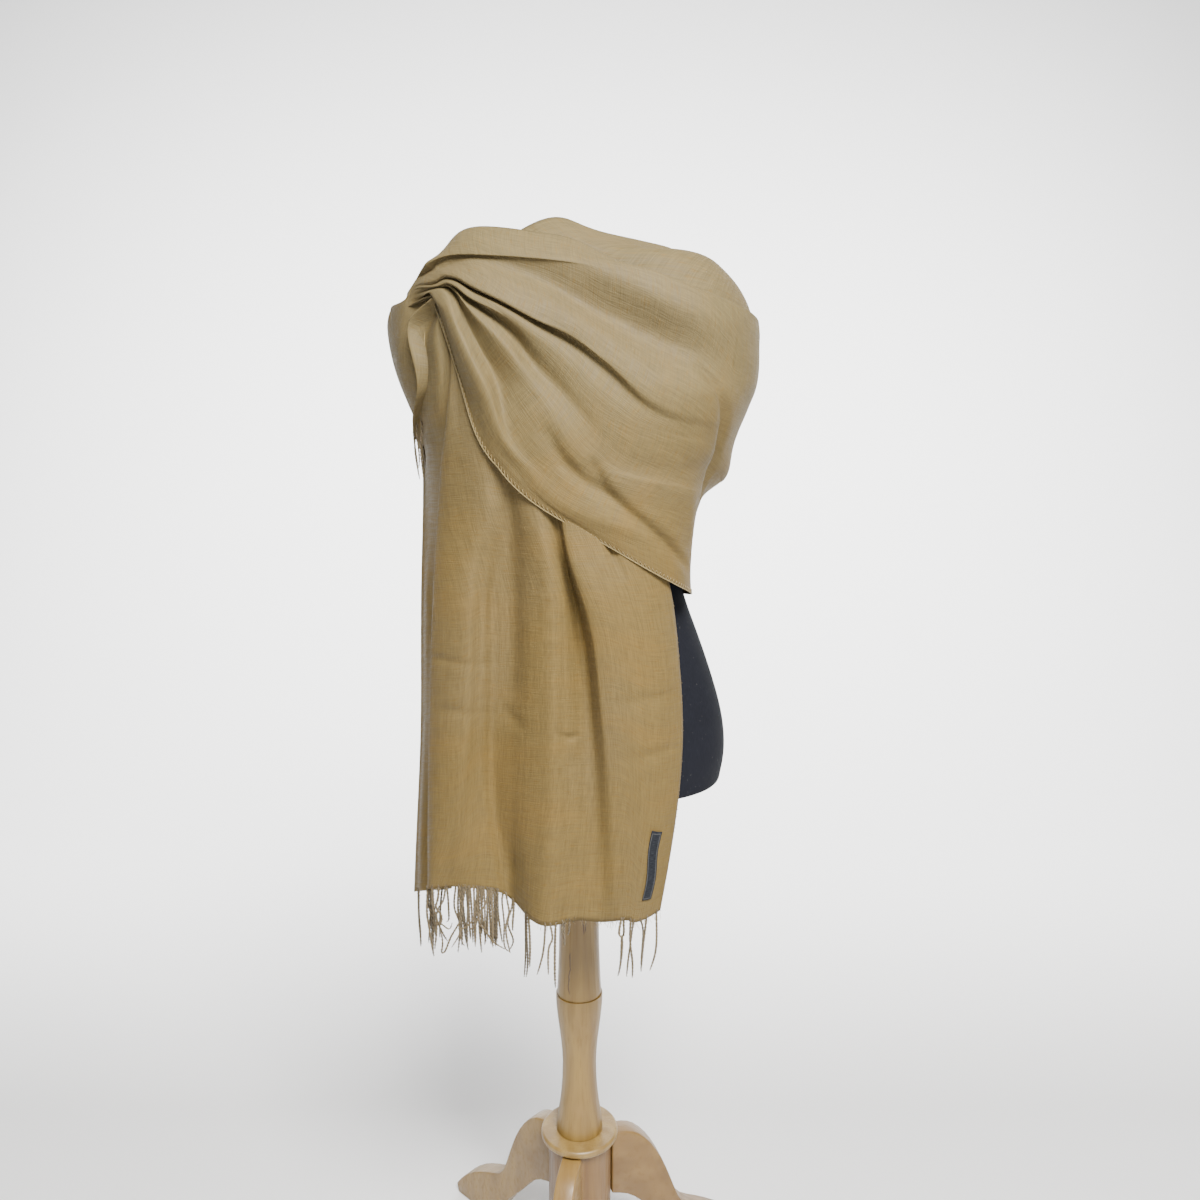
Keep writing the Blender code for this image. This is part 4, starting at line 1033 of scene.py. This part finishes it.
def overlock(bm):
    """The zigzag and edge cord of the crossing stretch, and the panel's finer zigzag."""
    angle, rise, out = charted(WRAP, CROSS_CREASES, np.linspace(0, 1, 700),
                               np.array([STITCH_REACH, 1.0]))
    lines = stand_off(angle, rise, out + STITCH_LIFT)
    inner, edge = lines[:, 0], lines[:, 1]
    stops = evenly(edge, STITCH_STEP)
    run = runs_along(edge)
    away = points_at(np.linspace(0, run[-1], len(stops)), run, inner) - stops
    away *= STITCH_DEPTH / (np.linalg.norm(away, axis=1, keepdims=True) + 1e-9)
    zigzag = stops + away * (np.arange(len(stops)) % 2)[:, None]
    tube(bm, zigzag, STITCH_RADIUS, 4, 1.0)
    tube(bm, evenly(edge, EDGE_CORD_STEP), STITCH_RADIUS * 1.3, 4, 2.0)
    side = evenly(panel_points[:, 0], SIDE_STITCH)
    side[:, 1] -= SIDE_STITCH_LIFT
    side[:, 0] -= SIDE_STITCH * (np.arange(len(side)) % 2)
    tube(bm, side, STITCH_RADIUS * 0.7, 4, 3.0)


THREAD = yarn("cream overlock thread", (0.31, 0.235, 0.105), (0.18, 0.125, 0.046))
stitches = new_mesh("selvedge_overlock", overlock, THREAD)


# ---- The fringes -------------------------------------------------------------------------
# The warp left unwoven at each end of the cloth: thin strands of two twisted plies, uneven
# and tangled. The front end's hang from the hem, the other end's behind the shoulder.

# Strands of the front end: share of the width at the hem, then how far sideways and down
# the strand has gone, in mm
FRONT_STRANDS = [
    (0.433, [(-0.7, 12.4), (-1.7, 22.9), (-2, 34.8)]),
    (0.438, [(0, 0.5), (-1.3, 9.8), (-3.9, 17.6), (-5.3, 28.2), (-1.3, 40), (0, 49.2),
             (-4.6, 58.4)]),
    (0.464, [(2.6, 11.1), (3.3, 21.6), (0, 37.4), (2.6, 57.2), (4.6, 65.7)]),
    (0.471, [(-2, 6.4), (-0.7, 23.5), (0, 39.3), (0, 59), (6.6, 66.9)]),
    (0.496, [(0, 28.7), (-0.9, 60.3)]),
    (0.504, [(0, 29.9), (0.3, 64.1)]),
    (0.512, [(0.5, 30.9), (0.5, 65.1)]),
    (0.519, [(0.3, 31.6), (0.7, 63.2)]),
    (0.521, [(-3.3, 14.6), (-9.9, 26.4), (-13.8, 37), (-23.1, 47.5)]),
    (0.526, [(0.3, 32.2), (0, 57.2)]),
    (0.534, [(0.7, 28.6), (0, 51.1)]),
    (0.54, [(-0.7, 28.8), (-0.7, 52.6)]),
    (0.548, [(0, 29), (0, 44.9), (2, 74)]),
    (0.552, [(0.7, 33.1), (7.3, 46.3), (15.2, 58.2), (23.2, 64.9), (29.8, 68.8)]),
    (0.56, [(-0.7, 41), (0, 68.8)]),
    (0.562, [(1.3, 15.8), (2, 27.7), (-5.3, 42.3), (-13.3, 47.6), (-17.2, 55.6), (-25.2, 68.8)]),
    (0.575, [(-0.7, 22.1), (-2, 42.1), (-2, 67.3)]),
    (0.581, [(-4.7, 24.6), (-6.6, 36.6), (-12, 47.2), (-18.6, 59.2), (-23.9, 72.5), (-27.9, 73.8),
             (-26.6, 63.2), (-29.3, 45.9)]),
    (0.591, [(-1.3, 17.6), (0.7, 38.9), (2, 54.9), (5.3, 73.5)]),
    (0.598, [(0.7, 28), (-0.7, 46.7), (2, 62.7), (4.7, 66.7)]),
    (0.6, [(-1.3, 21.2), (0, 38.6), (2.7, 51.9), (2, 67.3)]),
    (0.607, [(-2.7, 18.3), (-0.7, 30.3), (2.7, 41), (2.7, 57), (0.7, 75.1)]),
    (0.634, [(1.3, 16), (1.6, 30.8), (1.3, 38.9), (-1.3, 41.6)]),
    (0.636, [(-2.7, 14.5), (-7.4, 22.6), (-10.1, 29.3), (-10.8, 38.8), (-4, 44.2), (2.7, 48.9),
             (6.1, 41.5)]),
    (0.653, [(-1.1, 12.5), (-3.4, 20.6), (-1.1, 26), (2.7, 31.5), (2, 39.6), (-2.7, 39.6)]),
    (0.669, [(0, 19), (3.4, 32.6), (3.4, 50.3), (1.4, 69.4)]),
    (0.693, [(-1.4, 26.1), (0, 39.9), (2.8, 62.1), (5.5, 78.7)]),
    (0.815, [(-0.7, 26.1), (0.4, 46.8), (0.7, 69)]),
    (0.825, [(0.3, 39.9), (2.5, 67.6)]),
    (0.693, [(7.6, 30.2), (11.8, 44.1), (16.6, 55.1), (20.8, 62.1)]),
    (0.705, [(-0.7, 20.5), (2.8, 33.1), (3.5, 54.1), (2.8, 77.2)]),
    (0.021, [(0.6, 20.8), (-0.6, 44.1), (-6.5, 64.8)]),
    (0.068, [(-1.9, 14.2), (-4.1, 33.5), (-5.4, 54.1)]),
    (0.102, [(3.8, 11), (2.6, 35.4), (1.9, 57.2)]),
    (0.134, [(-3.8, 27.5), (-5.8, 44.1), (-7.3, 62)]),
    (0.17, [(-0.4, 23.8), (1.9, 44.2), (1.9, 63.4)]),
    (0.202, [(0.6, 9.8), (0, 16.8), (-1.7, 20.7), (-2.6, 44.3), (-5.7, 62.1)]),
    (0.206, [(-2.6, 11), (-1.9, 17.4), (0.5, 21), (-0.3, 41.6), (-3.2, 60.8)]),
    (0.285, [(-1.3, 3.5)]),
    (0.295, [(0.3, 6.9), (-1.3, 15.9)]),
    (0.301, [(-2.2, 6.5), (-1.5, 26.9)]),
    (0.308, [(0, 3.4), (-0.3, 11.1)]),
    (0.321, [(-1, 22.7), (-1.3, 54.5), (-0.6, 69.7)]),
    (0.334, [(2.5, 14.2), (-1.3, 24.4), (-1.9, 53.6)]),
    (0.345, [(-1.9, 24), (-5.7, 41.8), (-8.9, 52.6)]),
    (0.395, [(1.5, 25.8), (1.3, 46.2), (0.9, 56.5)]),
    (0.399, [(0, 27.8), (0.6, 53.5), (-1.3, 71.5)]),
    (0.402, [(0, 26.4), (-0.4, 49.5), (-2.1, 73.2)]),
]
BEHIND_STRANDS = 30
PLY_RADIUS = 0.00085
PLY_TURN = 0.0075
PLY_STEP = 0.0023
PLY_GAP = 0.85


def twisted(bm, path, radius, number):
    """Two plies wound round each other, thinning at the tip."""
    curve = spline(np.arange(len(path)), np.asarray(path))(np.linspace(0, len(path) - 1, 40))
    line = evenly(curve, PLY_STEP)
    run = np.linspace(0, 1, len(line))
    length = np.linalg.norm(np.diff(line, axis=0), axis=1).sum()
    for ply in (0.0, math.pi):
        wind = ply + number * 1.7 + run * length / PLY_TURN * math.tau
        circle = np.stack([np.cos(wind), np.sin(wind), np.zeros_like(wind)], axis=1)
        tube(bm, line + circle * radius * PLY_GAP, radius * (1 - 0.75 * run ** 8), 4, number + ply)


def strand_path(root, steps, depth):
    """From the hem down: sideways and drop in mm, easing back or forth by the depth."""
    last = max(drop for _, drop in steps)
    moves = [(0, 0, 0.004)] + [(side * MM, depth * drop / last, -drop * MM) for side, drop in steps]
    return [root + np.array(move) for move in moves]


def front_strands(bm):
    """The strands that show one by one, and others behind them at the turned edge."""
    random = np.random.default_rng(5)
    for number, (share, steps) in enumerate(FRONT_STRANDS):
        root = points_at(share, PANEL_COLUMNS, panel_points[0])
        path = strand_path(root, steps, random.uniform(-0.003, 0.003))
        twisted(bm, path, PLY_RADIUS * random.uniform(0.85, 1.1), number)
    for number in range(BEHIND_STRANDS):
        share = random.choice([random.uniform(0.885, 0.99), random.uniform(0.49, 0.60)])
        drop = random.uniform(56, 74)
        lean = random.uniform(-5, 5)
        steps = [(lean * 0.3 + random.uniform(-2, 2), drop * 0.4), (lean, drop)]
        root = points_at(share, PANEL_COLUMNS, panel_points[0])
        twisted(bm, strand_path(root, steps, 0.004), PLY_RADIUS, 100 + number)


TAUPE = yarn("twisted fringe", (0.20, 0.15, 0.08), (0.045, 0.034, 0.019))
front_fringe = new_mesh("front_fringe_strands", front_strands, TAUPE, ["front_fringe"])

# Strands of the thrown end that show: share of the width, sideways and down in mm
THROW_STRANDS = [
    (0.72, [(-3, 12), (-1, 34), (2, 62)]), (0.86, [(2, 15), (0, 34), (3, 70)]),
    (0.80, [(-1, 18), (1, 40), (0.5, 55)]), (0.62, [(1, 10), (-1.5, 30), (3.5, 66)])]
TUCKED_STRANDS = 20


def throw_strands(bm):
    """The strands that show one by one, and others tucked behind the throw."""
    random = np.random.default_rng(11)
    for number, (share, steps) in enumerate(THROW_STRANDS):
        root = points_at(share, WRAP_COLUMNS, wrap_points[-1])
        twisted(bm, strand_path(root, steps, -0.002), PLY_RADIUS * 0.75, number)
    for number in range(TUCKED_STRANDS):
        share = 0.01 + 0.5 * number / TUCKED_STRANDS + random.uniform(0, 0.02)
        drop = random.uniform(55, 72)
        steps = [(3 + random.uniform(0, 2), 9), (8 + random.uniform(-1, 2), 28),
                 (11 + random.uniform(-3, 3), drop)]
        root = points_at(share, WRAP_COLUMNS, wrap_points[-1])
        twisted(bm, strand_path(root, steps, 0.006), PLY_RADIUS, 100 + number)


throw_fringe = new_mesh("throw_fringe_strands", throw_strands, TAUPE, ["throw_fringe"])


# ---- Frayed hairs ---------------------------------------------------------------------
# Short loose fibres of the cloth's own wool stand off the hem and off the front panel's
# right selvedge.

HAIRS = 260
HAIR_RADIUS = 0.00016
SHOWN_SHARE = 0.62


def hairs(bm):
    """Fine curved fibres, by turns on the side and on the hem, where they show."""
    random = np.random.default_rng(23)
    hem, side = panel_points[0], panel_points[:, 0]
    for number in range(HAIRS):
        if number % 2:
            start = hem[int(random.integers(0, len(hem) * SHOWN_SHARE))]
            aim = np.array([random.normal(0, 0.5), random.normal(-0.1, 0.3), -1.0])
            length = random.uniform(0.002, 0.006)
        else:
            start = side[int(random.integers(0, len(side) * SHOWN_SHARE))]
            aim = np.array([0.7, random.normal(-0.2, 0.3), random.normal(-0.5, 0.6)])
            length = random.uniform(0.0005, 0.0014)
        bend = np.array([random.normal(0, 0.3), random.normal(0, 0.3), random.normal(-0.3, 0.3)])
        path = [start + aim * length * t + bend * length * t * t for t in (-0.2, 0.3, 0.7, 1.0)]
        tube(bm, path, HAIR_RADIUS, 3, number)


fray = new_mesh("panel_edge_fray", hairs, THREAD)


# ---- The woven label --------------------------------------------------------------------
# A narrow bare tape woven in dark slate, sewn on near the lower right corner of the front
# panel.

LABEL_SIZE = (0.0125, 0.074)
LABEL_THICKNESS = 0.0005
LABEL_ROWS = 41
LABEL_ALONG = np.linspace(0.0226, 0.0925, LABEL_ROWS)
LABEL_ACROSS = np.linspace(0.07, 0.11, 9)
# Off the panel in mm, and its sway in degrees
LABEL_LIFT = 1.55
LABEL_SWELL = 0.5
LABEL_SWAY = 0.44


def label_points():
    """The label's grid, a little swollen off the panel and swaying from side to side."""
    angle, rise, out = charted(PANEL, PANEL_CREASES, LABEL_ALONG, LABEL_ACROSS)
    turn = np.linspace(0, math.tau, LABEL_ROWS)[:, None]
    lift = LABEL_LIFT + LABEL_SWELL * np.sin(turn * 1.1)
    return stand_off(angle + LABEL_SWAY * np.sin(turn), rise, out + lift)


def label_weave():
    """Dark woven tape with a thin lighter line just inside its edges."""
    material, tree, shader = new_material("slate label tape")
    flat = add(tree, "ShaderNodeUVMap", {"uv_map": "weave"}).outputs[0]
    parts = add(tree, "ShaderNodeSeparateXYZ", Vector=flat)
    ribs = noise(tree, stretched(tree, flat, (1.0, 0.12, 1.0)), 1800.0, 1.0, noise_dimensions="2D")
    tone = mixed(tree, ramp(tree, ribs, 0.3, 0.7), (0.006, 0.007, 0.010, 1),
                 (0.020, 0.022, 0.027, 1))

    def from_edge(value, size):
        return sum_of(tree, "MINIMUM", value, sum_of(tree, "SUBTRACT", size, value))

    width, length = LABEL_SIZE
    near = sum_of(tree, "MINIMUM", from_edge(parts.outputs[0], length),
                  from_edge(parts.outputs[1], width))
    line = times(tree, ramp(tree, near, 0.0010, 0.0014), ramp(tree, near, 0.0018, 0.0022, 1.0, 0.0))
    tone = mixed(tree, times(tree, line, 0.55), tone, (0.10, 0.10, 0.095, 1))
    tree.links.new(tone, shader.inputs["Base Color"])
    raised(tree, shader, ribs, 0.5, 0.0003)
    finish(shader, Roughness=0.6, Specular_IOR_Level=0.15)
    return material


label = cloth_sheet("woven_label_tape", label_points(), ["shawl_label"],
                    label_weave(), LABEL_THICKNESS)


# ---- The studio --------------------------------------------------------------------------
# A plain pale floor that rises into a backdrop, lit by large soft lights from above and
# in front, seen as in the photograph.

FLOOR_HALF_SIZE = 4.0
RISE_STARTS = 1.6
RISE_CURVE = 0.9


def backdrop():
    """The floor, level under the stand and curving up behind it."""
    floor = bpy.data.meshes.new("backdrop")
    bm = bmesh.new()
    bmesh.ops.create_grid(bm, x_segments=2, y_segments=40, size=FLOOR_HALF_SIZE)
    for vert in bm.verts:
        vert.co.z = RISE_CURVE * max(vert.co.y - RISE_STARTS, 0) ** 2
    bm.to_mesh(floor)
    bm.free()
    floor.shade_smooth()
    material, _, shader = new_material("pale backdrop")
    finish(shader, Base_Color=(0.86, 0.86, 0.86, 1), Roughness=0.9, Specular_IOR_Level=0.1)
    floor.materials.append(material)
    obj = bpy.data.objects.new("backdrop", floor)
    bpy.context.scene.collection.objects.link(obj)


backdrop()


def soft_light(name, place, aim, size, power, colour=(1, 1, 1)):
    """A large soft light aimed at a point."""
    data = bpy.data.lights.new(name, "AREA")
    data.shape = "RECTANGLE"
    data.size, data.size_y = size
    data.energy = power
    data.color = colour
    obj = bpy.data.objects.new(name, data)
    bpy.context.scene.collection.objects.link(obj)
    obj.location = place
    obj.rotation_euler = (Vector(aim) - Vector(place)).to_track_quat("-Z", "Y").to_euler()


soft_light("overhead key", (0.50, -1.60, 2.65), (0, 0, 0.95), (1.2, 0.9), 215, (1.0, 0.985, 0.96))
soft_light("backdrop wash", (0, 1.0, 2.2), (0, 3.4, 1.5), (5.5, 2.6), 400)
soft_light("front fill", (0.9, -2.6, 1.3), (0, 0, 0.9), (2.0, 2.0), 8, (1.0, 0.99, 0.97))

world = bpy.data.worlds.new("studio")
bpy.context.scene.world = world
world.use_nodes = True
finish(world.node_tree.nodes["Background"], Color=(1, 1, 1, 1), Strength=0.25)

CAMERA_PLACE = (0.0257, -1.05, 1.00)
CAMERA_TILT = 6.6
camera_data = bpy.data.cameras.new("camera")
camera_data.lens = 27
camera_data.sensor_width = 36
camera = bpy.data.objects.new("camera", camera_data)
bpy.context.scene.collection.objects.link(camera)
camera.location = Vector(CAMERA_PLACE) + AXIS
camera.rotation_euler = (math.radians(90 - CAMERA_TILT), 0, 0)
bpy.context.scene.camera = camera
